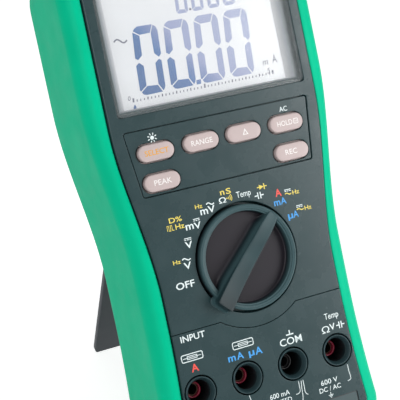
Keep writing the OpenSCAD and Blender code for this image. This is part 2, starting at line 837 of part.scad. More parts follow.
// Grip bar with sloped flanks: it falls from its raised tail to its middle, and narrows to its pointer
module grip_bar() {
    reach = sqrt(pow(knob_r - rim_width, 2) - pow(bar_width, 2));
    foot = bar_width + foot_spread;
    tail_foot = tail_width - 0.6;
    shoulder = 0.6 * bar_height;
    hull() {
        slab(bar_points(reach, 0, foot, foot), pocket_z - 0.5, pocket_z);
        slab(bar_points(0, 0.1, bar_width, bar_width), bar_saddle - 0.1, bar_saddle);
        slab(bar_points(bar_tail, 0.1 - bar_tail, tail_width, tail_width), bar_height - 0.1, bar_height);
    }
    hull() {
        slab(bar_points(0, reach, foot, tip_width + foot_spread), pocket_z - 0.5, pocket_z);
        slab(bar_points(0, 0.6 * bar_tip, bar_width, bar_width - 0.3), bar_saddle - 0.1, bar_saddle);
        slab(bar_points(0.1 - bar_tip, bar_tip, tip_width, tip_width), rim_height - 1, rim_height + tip_rise);
    }
    // Foot of the tail, which stands over the rim and the face's edge of the dish
    hull() {
        slab(bar_points(bar_tail + tail_spread, -knob_r / 2, tail_foot, tail_foot), tail_clearance,
            tail_clearance + 0.5);
        slab(bar_points(bar_tail, -knob_r / 2, tail_width, tail_width), shoulder - 0.1, shoulder);
    }
}

module selector_knob() color([0.24, 0.30, 0.32]) difference() {
    at_knob() union() {
        difference() {
            disc(0, 0, knob_r, knob_z, rim_height);
            translate([0, 0, pocket_z]) cylinder(r1 = knob_r - rim_width - pocket_slope,
                r2 = knob_r - rim_width, h = rim_height - pocket_z);
            disc(0, 0, knob_r - rim_width, rim_height, rim_height + 1);
        }
        grip_bar();
        disc(0, 0, hub_r, bearing_end + 0.1, knob_z + 0.1);
    }
    disc(0, knob_height, shaft_r + shaft_fit, bearing_end - 1, dish_z);
    // Groove for the seal
    tube(0, knob_height, hub_r + 1, hub_r - groove_depth, seal_z - 0.8, seal_z + 0.8);
}

seal_z = (dish_back + bearing_end) / 2;
seal_wire = 0.75;
module knob_seal() color([0.10, 0.10, 0.11]) translate([0, knob_height, seal_z])
    rotate_extrude() translate([hub_r - seal_wire, 0]) circle(r = seal_wire, $fn = 16);

module knob_shaft() color([0.86, 0.86, 0.82])
    disc(0, knob_height, shaft_r, rotor_z, dish_z);

module contact_rotor() color([0.88, 0.87, 0.80])
    tube(0, knob_height, rotor_r, shaft_r + shaft_fit, rotor_z, rotor_top);

contact_z = main_z + track_thick + contact_gap;
track_inner = 7.2;
track_width = 1.4;
track_pitch = 2.4;
pad_inner = 12;
pad_length = 3;
pad_half = 1.2;
contact_width = 1;
module rotor_contacts() color(brass_gold) at_knob() for (a = [0:90:270]) rotate([0, 0, a])
    for (side = [-1.6, 0.6])
        block(track_inner, pad_inner + pad_length - 0.4, side, side + contact_width, contact_z, rotor_z);

// Two common rings and one pad for each position of the selector
positions = 10;
first_position = rest_direction - detent_step;
module contact_tracks() color(brass_gold) {
    for (r = [track_inner, track_inner + track_pitch])
        tube(0, knob_height, r + track_width, r, main_z, main_z + track_thick);
    for (i = [0:positions - 1])
        translate([0, knob_height, 0]) rotate([0, 0, first_position + i * detent_step])
            block(pad_inner, pad_inner + pad_length, -pad_half, pad_half, main_z, main_z + track_thick);
}

scallop_r = 1.7;
module detent_ring() color([0.90, 0.89, 0.84]) difference() {
    tube(0, knob_height, ring_outer, ring_inner, detent_z0, detent_z1);
    for (a = [0:detent_step:359]) translate([0, knob_height, 0]) rotate([0, 0, rest_direction + a])
        disc(ring_inner - 0.2, 0, scallop_r, detent_z0 - 1, detent_z1 + 1);
}

ball_x = ring_inner - 0.1 - ball_r;
ball_bore_r = ball_r + 0.1;
spring_start = shaft_r + 3;
carrier_z0 = detent_z0 + 0.2;
ball_z = (detent_z0 + detent_z1) / 2;
module detent_carrier() color([0.90, 0.89, 0.84]) at_knob() difference() {
    tube(0, 0, carrier_r, shaft_r + shaft_fit, carrier_z0, detent_z1 - 0.1);
    for (a = [0, 180]) rotate([0, 0, a]) translate([spring_start, 0, ball_z]) rotate([0, 90, 0])
        cylinder(r = ball_bore_r, h = carrier_r);
}

module detent_balls() color(steel_grey) at_knob() for (a = [0, 180]) rotate([0, 0, a])
    translate([ball_x, 0, ball_z]) sphere(r = ball_r, $fn = 24);

function unit(v) = v / norm(v);
function along(path, i) = unit(path[min(i + 1, len(path) - 1)] - path[max(i - 1, 0)]);
function wire_ring(p, t, up, r, sides) = let (side = unit(cross(t, up)), top = cross(side, t))
    [for (k = [0:sides - 1]) p + r * (cos(360 * k / sides) * side + sin(360 * k / sides) * top)];

// A round wire along a path; up is a direction that the path never runs in
module wire(path, r, sides, up) {
    last = len(path) - 1;
    polyhedron(points = [for (i = [0:last]) each wire_ring(path[i], along(path, i), up, r, sides)],
        faces = concat([[for (k = [sides - 1:-1:0]) k], [for (k = [0:sides - 1]) last * sides + k]],
            [for (i = [0:last - 1], k = [0:sides - 1]) [i * sides + k, i * sides + (k + 1) % sides,
                (i + 1) * sides + (k + 1) % sides, (i + 1) * sides + k]]));
}

spring_wire = 0.22;
spring_turns = 4.5;
spring_r = ball_r - 0.35;
spring_end = ball_x - ball_r;
module detent_springs() color(steel_grey) at_knob() for (a = [0, 180]) rotate([0, 0, a])
    wire([for (i = [0:12 * spring_turns]) [spring_start + spring_wire
        + (spring_end - spring_start - 2 * spring_wire) * i / (12 * spring_turns),
        spring_r * cos(30 * i), ball_z + spring_r * sin(30 * i)]], spring_wire, 6, [1, 0, 0]);

// ==== input jacks ====
// Shrouds with a conical mouth that guides the plug
module jack_shrouds() color([0.16, 0.20, 0.21]) for (x = jack_x) difference() {
    tube(x, 0, shroud_r, well_r, main_z, collar_rise);
    translate([x, 0, collar_rise - mouth_depth])
        cylinder(r1 = well_r, r2 = 2 * (shroud_r - collar_edge) - well_r, h = 2 * mouth_depth);
}

module sleeve(x) difference() {
    union() {
        disc(x, 0, sleeve_r, main_z + foot_thick, -sleeve_depth);
        disc(x, 0, well_r - 0.05, main_z + foot_thick, main_z + 2 * foot_thick);
    }
    disc(x, 0, socket_r, main_z, socket_top);
    disc(x, 0, socket_bore_r + sleeve_mouth, socket_top - 1, 1);
}

module sleeve_a() color(jack_red) sleeve(jack_x[0]);
module sleeve_ma() color(jack_red) sleeve(jack_x[1]);
module sleeve_com() color(slate_dark) sleeve(jack_x[2]);
module sleeve_v() color(jack_red) sleeve(jack_x[3]);

module socket(x) color(brass_gold) difference() {
    union() {
        disc(x, 0, socket_r, socket_end - foot_thick, socket_top);
        disc(x, 0, well_r - 0.3, main_z, main_z + foot_thick);
    }
    disc(x, 0, socket_bore_r, socket_end, socket_top + 1);
}

module socket_a() socket(jack_x[0]);
module socket_ma() socket(jack_x[1]);
module socket_com() socket(jack_x[2]);
module socket_v() socket(jack_x[3]);

// ==== main board and what it carries ====
module main_board() color(board_green) difference() {
    block(-board_side, board_side, -board_foot, board_head, main_back, main_z);
    for (x = jack_x) disc(x, 0, socket_r + 0.1, -30, 0);
    mirrored() for (p = main_screw_places) disc(p[0], p[1], small_hole_r, -30, 0);
}

module small_screw(p, z) {
    screw(p[0], p[1], z - small_head_height, board_screw_length, small_screw_r, small_head_r,
        small_head_height);
}

module board_screws() color(steel_grey) mirrored() {
    for (p = main_screw_places) translate([0, 0, main_z]) mirror([0, 0, 1]) small_screw(p, 0);
    for (p = display_screw_places) small_screw(p, display_board_back);
}

measuring_side = 15;
module measuring_chip() color([0.12, 0.12, 0.13])
    chip(0, board_head - 1.2 * measuring_side, measuring_side, main_z, main_z + chip_thick);

// Three surge discs and the thermistor stand on edge between the jacks and the rotor
disc_r = 4.4;
disc_thick = 3.6;
disc_pitch = 6.5;
disc_start = 12;
protection_y = 14;
module input_protection() {
    for (i = [0:2]) color([0.15, 0.35, 0.70])
        translate([disc_start + disc_pitch * i, protection_y, main_z + disc_r]) rotate([0, 90, 0])
            cylinder(r = disc_r, h = disc_thick);
    color([0.85, 0.65, 0.20]) translate([-2.5 * disc_start, protection_y, main_z + disc_r])
        rotate([0, 90, 0]) cylinder(r = disc_r, h = 0.8 * disc_thick);
}

resistor_r = 1.6;
resistor_length = 9;
resistor_pitch = 5;
resistor_x = 16;
resistor_drop = 28;
tail_r = 0.4;
tail_length = 3;
module input_resistors() color([0.45, 0.62, 0.75]) for (i = [0:3])
    translate([resistor_x, board_head - resistor_drop + resistor_pitch * i, main_z + resistor_r])
        rotate([0, 90, 0]) {
            cylinder(r = resistor_r, h = resistor_length);
            translate([0, 0, -tail_length]) cylinder(r = tail_r, h = resistor_length + 2 * tail_length);
        }

can_r = 3.15;
can_height = 7;
can_pitch = 9;
can_x = -22;
module capacitors() color([0.15, 0.16, 0.30]) for (i = [0:2])
    disc(can_x, board_head - 8 - can_pitch * i, can_r, main_z, main_z + can_height);

shunt_r = 0.9;
shunt_arch = 4.5;
shunt_leg = 4;
shunt_x = -2;
shunt_y = 11.5;
module current_shunt() color([0.72, 0.45, 0.25]) {
    for (x = [shunt_x - shunt_arch, shunt_x + shunt_arch])
        disc(x, shunt_y, shunt_r, main_back - shunt_leg, main_back);
    translate([shunt_x, shunt_y, main_back - shunt_leg]) rotate([-90, 0, 0])
        rotate_extrude(angle = 180) translate([shunt_arch, 0]) circle(r = shunt_r);
}

fuse_cap = 6;
clip_wall = 0.5;
large_y = 24;
small_y = 40;
fuse_x = -2;
clip_lift = 0.6;
large_z = main_back - clip_wall - fuse_large_r - clip_lift;
small_z = main_back - clip_wall - fuse_small_r - clip_lift;

module fuse(y, z, r) translate([fuse_x - fuse_length / 2, y, z]) rotate([0, 90, 0]) {
    color([0.90, 0.89, 0.86]) cylinder(r = r - 0.15, h = fuse_length);
    color(steel_grey) for (start = [0, fuse_length - fuse_cap]) translate([0, 0, start])
        cylinder(r = r, h = fuse_cap);
}

module fuse_large() fuse(large_y, large_z, fuse_large_r);
module fuse_small() fuse(small_y, small_z, fuse_small_r);

// A spring clip open towards the rear, with a foot on the board
module fuse_clip(x, y, z, r) {
    difference() {
        translate([x, y, z]) rotate([0, 90, 0]) cylinder(r = r + clip_wall, h = fuse_cap - 1);
        translate([x - 1, y, z]) rotate([0, 90, 0]) cylinder(r = r, h = fuse_cap + 1);
        block(x - 1, x + fuse_cap, y - 2 * r, y + 2 * r, z - 2 * r, z - 0.5 * r);
    }
    block(x, x + fuse_cap - 1, y - 1.5, y + 1.5, main_back - clip_lift - 0.2, main_back);
}

module fuse_clips() color(brass_gold) for (side = [0, 1]) {
    x = fuse_x - fuse_length / 2 + 0.5 + side * (fuse_length - fuse_cap);
    fuse_clip(x, large_y, large_z, fuse_large_r);
    fuse_clip(x, small_y, small_z, fuse_small_r);
}

battery_z = floor_top + 0.1;
stud_z = battery_z + battery_thick / 2;
module battery() {
    color([0.20, 0.21, 0.24]) block(-battery_width / 2, battery_width / 2, battery_foot,
        battery_foot + battery_length, battery_z, battery_z + battery_thick);
    color(steel_grey) for (x = [-stud_x, stud_x]) translate([x, battery_foot, stud_z]) rotate([90, 0, 0])
        cylinder(r = stud_r, h = stud_height);
}

snap_half = 2 * stud_x - 0.3;
snap_inset = 2;
module battery_snap() color(slate_dark)
    block(-snap_half, snap_half, snap_y, snap_y + snap_thick, battery_z + snap_inset,
        battery_z + battery_thick - snap_inset);

lead_r = 0.6;
lead_x = 4;
lead_z = main_back - 1.3;
lead_y = board_head - 3.3;
lead_bend = 1.1;
// Each lead runs along the back of the main board and bends up into it
module battery_leads() for (x = [-lead_x, lead_x])
    color(x < 0 ? [0.15, 0.15, 0.16] : [0.70, 0.12, 0.12])
        wire(concat([[x, snap_y, lead_z], [x, (snap_y + lead_y) / 2, lead_z]],
            [for (a = [0:22.5:90]) [x, lead_y + lead_bend * (1 - sin(a)), lead_z + lead_bend * (1 - cos(a))]],
            [[x, lead_y, main_back]]), lead_r, 8, [1, 0, 0]);

buzzer_r = 8.5;
buzzer_hole = 1.2;
buzzer_thick = 5;
buzzer_x = -14;
buzzer_drop = 30;
module buzzer() color([0.14, 0.14, 0.15])
    tube(buzzer_x, board_head - buzzer_drop, buzzer_r, buzzer_hole, main_back - buzzer_thick, main_back);

shield_half = 30;
shield_thick = 0.4;
shield_inset = 1.5;
module shield_plate() color([0.75, 0.76, 0.78]) difference() {
    block(-shield_half, shield_half, shield_inset - board_foot, door_foot - 5.5, floor_top,
        floor_top + shield_thick);
    mirrored() for (p = main_screw_places) disc(p[0], p[1], main_post_r + 1, case_back, 0);
}

placed() holster();
placed() tilt_stand();
placed() front_case();
placed() input_panel();
placed() keypad_bezel();
placed() rear_case();
placed() case_gasket();
placed() battery_door();
placed() door_screws();
placed() case_screws();
placed() display_lens();
placed() display_bezel();
placed() display_glass();
placed() display_holder();
placed() light_guide();
placed() connector_strips();
placed() display_board();
placed() processor_chip();
placed() keypad_mat();
placed() contact_pills();
placed() button_mode();
placed() button_range();
placed() button_relative();
placed() button_hold();
placed() button_peak();
placed() button_record();
placed() selector_knob();
placed() knob_shaft();
placed() knob_seal();
placed() contact_rotor();
placed() rotor_contacts();
placed() detent_ring();
placed() detent_carrier();
placed() detent_springs();
placed() detent_balls();
placed() jack_shrouds();
placed() sleeve_a();
placed() sleeve_ma();
placed() sleeve_com();
placed() sleeve_v();
placed() socket_a();
placed() socket_ma();
placed() socket_com();
placed() socket_v();
placed() main_board();
placed() contact_tracks();
placed() board_screws();
placed() measuring_chip();
placed() input_protection();
placed() input_resistors();
placed() capacitors();
placed() current_shunt();
placed() fuse_large();
placed() fuse_small();
placed() fuse_clips();
placed() battery();
placed() battery_snap();
placed() battery_leads();
placed() buzzer();
placed() shield_plate();
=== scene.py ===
"""Looks of a digital multimeter in a rubber holster, standing on its tilt stand.

Pieces are made flat in the face's own frame: millimetres, x across, y up the face and z out of it, with the origin
on the face at the middle of the row of jacks. TO_WORLD carries them into the model's frame.
"""
import json
import math

import bmesh
import bpy
from mathutils import Matrix, Vector
from mathutils.geometry import tessellate_polygon


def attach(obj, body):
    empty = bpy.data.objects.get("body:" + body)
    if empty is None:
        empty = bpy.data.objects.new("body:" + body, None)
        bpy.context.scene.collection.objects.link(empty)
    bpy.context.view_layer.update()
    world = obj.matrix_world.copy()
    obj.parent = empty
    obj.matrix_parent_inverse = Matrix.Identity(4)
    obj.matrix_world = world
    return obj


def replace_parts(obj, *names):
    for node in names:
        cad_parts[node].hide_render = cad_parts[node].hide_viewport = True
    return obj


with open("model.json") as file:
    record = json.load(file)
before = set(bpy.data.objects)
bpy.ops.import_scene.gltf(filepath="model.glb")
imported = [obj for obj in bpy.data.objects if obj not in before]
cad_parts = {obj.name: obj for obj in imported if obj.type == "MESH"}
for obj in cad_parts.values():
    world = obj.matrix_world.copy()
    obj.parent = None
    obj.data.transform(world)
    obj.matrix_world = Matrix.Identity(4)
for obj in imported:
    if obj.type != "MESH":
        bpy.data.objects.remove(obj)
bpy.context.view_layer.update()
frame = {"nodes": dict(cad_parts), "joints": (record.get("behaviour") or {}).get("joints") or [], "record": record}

RECORD = frame["record"]
JOINTS = {joint["name"]: joint for joint in frame["joints"]}
MOUNTS = {mount["name"]: mount for mount in RECORD["mounts"]}
MM = 0.001

# ---- the face's frame, from the selector's axis and the jacks ----
NORMAL = Vector(JOINTS["selector_turn"]["axis"]).normalized()
KNOB_AT = Vector(JOINTS["selector_turn"]["pos_m"])
ACROSS = Vector((1, 0, 0))
UP = NORMAL.cross(ACROSS)
JACKS = ["a", "ma", "com", "v"]
JACK_AT = [Vector(MOUNTS[f"jack_{name}"]["pos_m"]) for name in JACKS]
JACK_MID = sum(JACK_AT, Vector()) / len(JACK_AT)
ORIGIN = JACK_MID - NORMAL * (JACK_MID - KNOB_AT).dot(NORMAL)
TO_WORLD = Matrix.Translation(ORIGIN) @ Matrix((ACROSS, UP, NORMAL)).transposed().to_4x4() @ Matrix.Scale(MM, 4)
TO_FACE = TO_WORLD.inverted()
KNOB_Y = (TO_FACE @ KNOB_AT).y
JACK_X = [(TO_FACE @ at).x for at in JACK_AT]


def face_box(node):
    """Lowest and highest corner of a CAD node in the face's frame, in millimetres."""
    points = [TO_FACE @ vertex.co for vertex in frame["nodes"][node].data.vertices]
    low = Vector([min(point[i] for point in points) for i in range(3)])
    high = Vector([max(point[i] for point in points) for i in range(3)])
    return low, high


# ---- sizes shared with the part, in millimetres ----
WAIST_HALF = 35.1
HEAD_HALF = 41.6
FOOT_FLARE = 3.2
FLARE_TOP = 25.0
FACE_SWEEP = (35.0, 98.0)
SIDE_SWEEP = (42.0, 108.0)
CORNER_FOOT = 6.0
CORNER_TOP = 11.0
LIP_OVER = 2.2
END_OVER = 3.5
HOLSTER_FIT = 0.2
LIP_THICK = 2.2
LIP_ROUND = (5.4, 7.0)
BACK_ROUND = 5.0
SEAM_R = 25.6
SEAM_GAP = 0.2
HOLSTER_HIGH = face_box("holster")[1]
CASE_LOW, CASE_HIGH = face_box("rear_case")
CASE_FOOT = -CASE_LOW.y
CASE_TOP = CASE_HIGH.y
FACE_FOOT = CASE_FOOT - END_OVER
FACE_TOP = CASE_TOP - END_OVER
# The round edges here are finer than the part's, so the holster's ends lie this much further in
END_TRIM = 0.12
HOLSTER_TOP = HOLSTER_HIGH.y - END_TRIM
HOLSTER_FOOT = CASE_FOOT + HOLSTER_TOP - CASE_TOP
HOLSTER_GROW = HOLSTER_HIGH.x - HEAD_HALF
LIP_Z = HOLSTER_HIGH.z
CASE_Z = CASE_LOW.z
BACK_Z = -43.0
FACE_THICK = -face_box("input_panel")[0].z
FACE_GAP = 0.3
SEAM_Y = 22.5
ARC_STEPS = 12
FLANK_STEPS = 72


def ease(t):
    c = min(max(t, 0.0), 1.0)
    return c * c * (3 - 2 * c)


def half_at(y, sweep):
    """Half width of the face at height y, where sweep is the stretch in which it widens."""
    flare = FOOT_FLARE * (max(0.0, FLARE_TOP - y) / (FLARE_TOP + CASE_FOOT)) ** 2
    return WAIST_HALF + (HEAD_HALF - WAIST_HALF) * ease((y - sweep[0]) / (sweep[1] - sweep[0])) + flare


def ring(foot, top, r_foot, r_top, grow, sweep):
    """Closed outline with round corners, counterclockwise from the middle of its foot."""
    low, high = r_foot - foot, top - r_top
    right = arc(half_at(low, sweep) + grow - r_foot, low, r_foot, -90, 0, ARC_STEPS)
    for i in range(1, FLANK_STEPS):
        y = low + (high - low) * i / FLANK_STEPS
        right.append((half_at(y, sweep) + grow, y))
    right += arc(half_at(high, sweep) + grow - r_top, high, r_top, 0, 90, ARC_STEPS)
    return right + [(-x, y) for x, y in reversed(right)]


def face_ring(grow):
    return ring(FACE_FOOT + grow, FACE_TOP + grow, CORNER_FOOT + grow, CORNER_TOP + grow, grow, FACE_SWEEP)


def case_ring(grow):
    return ring(CASE_FOOT + grow, CASE_TOP + grow, CORNER_FOOT + LIP_OVER + grow,
                CORNER_TOP + LIP_OVER + grow, LIP_OVER + grow, FACE_SWEEP)


def holster_ring(inset):
    return ring(HOLSTER_FOOT - inset, HOLSTER_TOP - inset, CORNER_FOOT + HOLSTER_GROW - inset,
                CORNER_TOP + HOLSTER_GROW - inset, HOLSTER_GROW - inset, SIDE_SWEEP)


# ---- materials ----
def rgb(red, green, blue):
    """Linear colour for the display values red, green and blue, 0 to 255."""
    return tuple(((v / 255 + 0.055) / 1.055) ** 2.4 if v > 10 else v / 255 / 12.92 for v in (red, green, blue)) + (1,)


class Tree:
    """A node tree with short calls; a socket's value is a constant or the output that feeds it."""

    def __init__(self, tree):
        self.tree = tree

    def put(self, socket, value):
        if isinstance(value, bpy.types.NodeSocket):
            self.tree.links.new(value, socket)
        else:
            socket.default_value = value

    def fill(self, node, values):
        """Sets a node's sockets by name, with underscores for blanks."""
        for name, value in values.items():
            self.put(node.inputs[name.replace("_", " ")], value)
        return node

    def add(self, kind, **values):
        return self.fill(self.tree.nodes.new(f"ShaderNode{kind}"), values)

    def operate(self, kind, operation, *values):
        """Number from a math node, whose sockets are given in their order."""
        node = self.add(kind)
        node.operation = operation
        for socket, value in zip(node.inputs, values):
            self.put(socket, value)
        return node.outputs["Value"]


class Nodes(Tree):
    """A material's node tree, with the nodes that the finishes share."""

    def __init__(self, name, roughness, **fixed):
        self.material = bpy.data.materials.new(name)
        self.material.use_nodes = True
        super().__init__(self.material.node_tree)
        self.place = self.add("TexCoord").outputs["Object"]
        self.look(Roughness=roughness, **fixed)

    def look(self, **values):
        """Sets sockets of the shader."""
        self.fill(self.tree.nodes["Principled BSDF"], values)

    def noise(self, scale, detail=3.0, roughness=0.5, at=None):
        return self.add("TexNoise", Scale=scale, Detail=detail, Roughness=roughness,
                        Vector=at or self.place).outputs["Fac"]

    def ramp(self, factor, stops):
        node = self.add("ValToRGB", Fac=factor)
        elements = node.color_ramp.elements
        while len(elements) < len(stops):
            elements.new(0.5)
        for element, (position, colour) in zip(elements, stops):
            element.position = position
            element.color = colour
        return node.outputs["Color"]

    def spread(self, factor, low, high):
        """Maps a factor's middle range to low...high."""
        return self.add("MapRange", Value=factor, From_Min=0.3, From_Max=0.7,
                        To_Min=low, To_Max=high).outputs["Result"]

    def bump(self, height, distance):
        return self.add("Bump", Height=height, Distance=distance, Strength=1.0).outputs["Normal"]


def moulded(name, colour, roughness=0.5, grain=2200, depth=0.00002, drift=0.06, **fixed):
    """Moulded plastic or rubber: fine texture, a faint drift of colour and patches of differing gloss."""
    m = Nodes(name, roughness, **fixed)
    low = tuple(c * (1 - drift) for c in colour[:3]) + (1,)
    high = tuple(min(1, c * (1 + drift)) for c in colour[:3]) + (1,)
    m.look(Base_Color=m.ramp(m.noise(60, 4), [(0.3, low), (0.7, high)]),
           Roughness=m.spread(m.noise(140, 5), roughness - 0.05, roughness + 0.06),
           Normal=m.bump(m.noise(grain, 2, 0.6), depth))
    return m.material


def metal(name, colour, roughness=0.3, streak=(900, 60, 900), drift=0.08):
    """Plated or bare metal with fine drawing marks and slight tarnish."""
    m = Nodes(name, roughness, Metallic=1.0)
    drawn = m.add("Mapping", Vector=m.place, Scale=streak).outputs["Vector"]
    low = tuple(c * (1 - drift) for c in colour[:3]) + (1,)
    m.look(Base_Color=m.ramp(m.noise(90, 4), [(0.35, low), (0.65, colour)]),
           Roughness=m.spread(m.noise(1.0, 4, 0.6, drawn), roughness - 0.08, roughness + 0.12),
           Normal=m.bump(m.noise(1.0, 2, 0.5, drawn), 0.000004))
    return m.material


def clear(name, veil=0.07):
    """Clear plastic of the lens: nearly see-through, with a faint polish haze."""
    m = Nodes(name, 0.08, Alpha=veil)
    m.look(Base_Color=m.ramp(m.noise(25, 2), [(0.3, rgb(232, 238, 240)), (0.7, rgb(244, 247, 248))]),
           Roughness=m.spread(m.noise(40, 3), 0.05, 0.1))
    return m.material


def graded(name, stops, axis, low, high, roughness, grain, share, **fixed):
    """Colour that runs through stops along an axis of the model's frame, between two places in the face's frame."""
    m = Nodes(name, roughness, **fixed)
    along = m.operate("VectorMath", "DOT_PRODUCT", m.place, axis)
    start, end = ((TO_WORLD @ Vector(place)).dot(axis) for place in (low, high))
    level = m.add("MapRange", Value=along, From_Min=start, From_Max=end).outputs["Result"]
    mottled = m.operate("Math", "MULTIPLY_ADD", m.noise(grain, 3), share, level)
    m.look(Base_Color=m.ramp(mottled, [(place, rgb(*colour)) for place, colour in stops]))
    return m


def depth_shaded(name, stops, low, high, roughness=0.45):
    """Moulded plastic whose colour changes with the depth below the face, from low to high in millimetres; the colour
    paints the shade and light that change with depth.
    """
    m = graded(name, stops, NORMAL, (0, 0, low), (0, 0, high), roughness, 90, 0.08, Specular_IOR_Level=0.2)
    m.look(Normal=m.bump(m.noise(2600, 2), 0.00001))
    return m.material


HOLSTER = moulded("holster_rubber_looks", rgb(0, 190, 144), 0.48, 1500, 0.00003, 0.04, Specular_IOR_Level=0.06)
SLATE = moulded("face_plastic_looks", rgb(34, 57, 60), 0.27, 2600, 0.00001, 0.04, Specular_IOR_Level=0.3)
DARK = moulded("case_plastic_looks", rgb(52, 56, 59), 0.55, 2600, 0.00002, 0.05)
KEY = moulded("key_plastic_looks", rgb(190, 174, 172), 0.42, 2000, 0.000012, 0.03, Specular_IOR_Level=0.3)
# Knob colour by depth: darkest and purple-grey deep in the pocket, partly the floor's matte finish and partly painted
# shade; lightest around the rim's crest as a painted highlight; darker again up the bar towards its raised tail.
KNOB_PAINTED_SHADE_AND_LIGHT = depth_shaded("knob_painted_shade_and_light_looks", [(0.05, (28, 25, 32)), (0.22, (30, 46, 50)), (0.42, (56, 80, 84)),
                                     (0.56, (56, 80, 84)), (0.66, (34, 56, 60)), (1.0, (18, 34, 38))],
              -2.0, 6.0, 0.42)
# Collar colour by depth: near black deep in the jack wells as painted shade, lighter towards the collars' tops.
COLLAR_PAINTED_SHADE = depth_shaded("collar_painted_shade_looks", [(0.0, (10, 11, 13)), (0.55, (16, 22, 24)), (0.8, (26, 42, 45)),
                                         (1.0, (42, 62, 66))], -8.0, 0.2, 0.36)
STAND_LOOKS = moulded("stand_plastic_looks", rgb(72, 75, 80), 0.5, 2200, 0.00002, 0.05, Specular_IOR_Level=0.2)
# Bezel colour by depth: light grey near the display, darkening up its walls towards the face as painted shade.
BEZEL_PAINTED_SHADE = depth_shaded("bezel_painted_shade_looks", [(0.04, (200, 200, 204)), (0.3, (176, 178, 182)), (0.6, (146, 152, 157)),
                                       (0.9, (118, 126, 131)), (1.0, (62, 78, 80))], -5.0, -2.1)
GLASS = moulded("display_glass_looks", rgb(226, 228, 231), 0.2, 200, 0.000002, 0.015)
SCALE_INK = moulded("display_scale_looks", rgb(98, 100, 118), 0.4, 2000, 0.000002, 0.05)
RED = moulded("sleeve_red_looks", rgb(158, 32, 62), 0.38, 2000, 0.000008, 0.05)
# Black plastic of the COM sleeve; also laid as painted shadow round the label and as painted shade on the COM socket.
BLACK_AND_PAINTED_SHADE = moulded("black_sleeve_and_painted_shade_looks", rgb(30, 30, 33), 0.38, 2000, 0.000008, 0.05)
PRINT = {name: moulded(f"print_{name}_looks", rgb(*colour), 0.5, 3000, 0.000004, 0.03) for name, colour in (
    ("white", (226, 238, 238)), ("yellow", (230, 210, 92)), ("pale", (236, 232, 230)),
    ("orange", (222, 156, 22)), ("blue", (60, 155, 226)), ("red", (232, 76, 64)))}
LABEL = moulded("label_looks", rgb(62, 78, 80), 0.4, 2600, 0.00001, 0.05, Specular_IOR_Level=0.3)
LENS = clear("lens_clear_looks")
BRASS = metal("contact_brass_looks", (0.78, 0.58, 0.26, 1), 0.28)
SOCKET = metal("socket_metal_looks", (0.09, 0.06, 0.045, 1), 0.45)
STEEL = metal("screw_steel_looks", (0.62, 0.62, 0.64, 1), 0.34)
COPPER = metal("shunt_alloy_looks", (0.60, 0.36, 0.20, 1), 0.4)


# ---- shapes ----
CREASE = 32
JOINED = 0.000001


def arc(x, y, r, start, end, steps):
    """Points on an arc from start to end degrees, both ends included."""
    return [(x + r * math.cos(math.radians(start + (end - start) * i / steps)),
             y + r * math.sin(math.radians(start + (end - start) * i / steps))) for i in range(steps + 1)]


def circle(x, y, r, steps=64):
    return arc(x, y, r, 0, 360 - 360 / steps, steps - 1)


def rounded(x0, x1, y0, y1, r, steps=6):
    """Rectangle with round corners, counterclockwise."""
    r = max(r, 0.01)
    return (arc(x1 - r, y0 + r, r, -90, 0, steps) + arc(x1 - r, y1 - r, r, 0, 90, steps)
            + arc(x0 + r, y1 - r, r, 90, 180, steps) + arc(x0 + r, y0 + r, r, 180, 270, steps))


def at(loop, z):
    return [(x, y, z) for x, y in loop]


def quarter(steps):
    """Pairs of 1 - sine and 1 - cosine for equal steps through a quarter turn."""
    return [(1 - math.sin(a), 1 - math.cos(a)) for a in (math.radians(90 * i / steps) for i in range(steps + 1))]


def fillet(outline, grow, z, r, steps=4, outward=True):
    """Loops of a quarter round from the flat at z down to the wall, where outline(g) gives the loop grown by g."""
    side = -r if outward else r
    return [at(outline(grow + side * s), z - r * c) for s, c in quarter(steps)]


def add_object(name, data):
    """Object of this data in the scene."""
    added = bpy.data.objects.new(name, data)
    bpy.context.scene.collection.objects.link(added)
    return added


class Shape:
    """Points and faces of one piece, in millimetres of the face's frame."""
    even = True

    def __init__(self):
        self.points = []
        self.faces = []

    def add(self, points):
        start = len(self.points)
        self.points += [tuple(p) for p in points]
        return list(range(start, len(self.points)))

    def loft(self, loops, closed=True):
        """Skin through loops of equal length."""
        rows = [self.add(loop) for loop in loops]
        count = len(rows[0])
        for low, high in zip(rows, rows[1:]):
            for i in range(count if closed else count - 1):
                j = (i + 1) % count
                self.faces.append((low[i], low[j], high[j], high[i]))
        return self

    def cap(self, loop, holes=()):
        """Flat face inside a loop and outside its holes."""
        loops = [loop, *holes]
        index = [k for points in loops for k in self.add(points)]
        for triangle in tessellate_polygon([[Vector(p) for p in points] for points in loops]):
            self.faces.append(tuple(index[k] for k in triangle))
        return self

    def solid(self, loops):
        """Closed skin through loops, with flat ends."""
        return self.loft(loops).cap(loops[0]).cap(loops[-1])

    def moved(self, matrix):
        self.points = [tuple(matrix @ Vector(p)) for p in self.points]
        return self

    def object(self, name, heal):
        """Object of the skin in the model's frame, its doubled points joined and its faces turned outward; heal also
        drops edges without length."""
        mesh = bpy.data.meshes.new(name)
        bm = bmesh.new()
        vertices = [bm.verts.new(p) for p in self.points]
        for face in self.faces:
            try:
                bm.faces.new([vertices[i] for i in face])
            except ValueError:
                continue
        bmesh.ops.remove_doubles(bm, verts=bm.verts, dist=0.0005)
        if heal:
            bmesh.ops.dissolve_degenerate(bm, edges=bm.edges, dist=0.0001)
        bmesh.ops.recalc_face_normals(bm, faces=bm.faces)
        bmesh.ops.transform(bm, matrix=TO_WORLD, verts=bm.verts)
        bm.to_mesh(mesh)
        bm.free()
        return add_object(name, mesh)

    def tool(self):
        """Temporary object for a boolean."""
        return self.object("tool", False)

    def make(self, name, material, body="root", slot=None, sharp=CREASE):
        """Piece of the scene, with its material and the body that it rides on."""
        piece = self.object(name, True)
        crease(piece, sharp, self.even)
        piece.data.materials.append(material)
        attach(piece, body)
        return piece


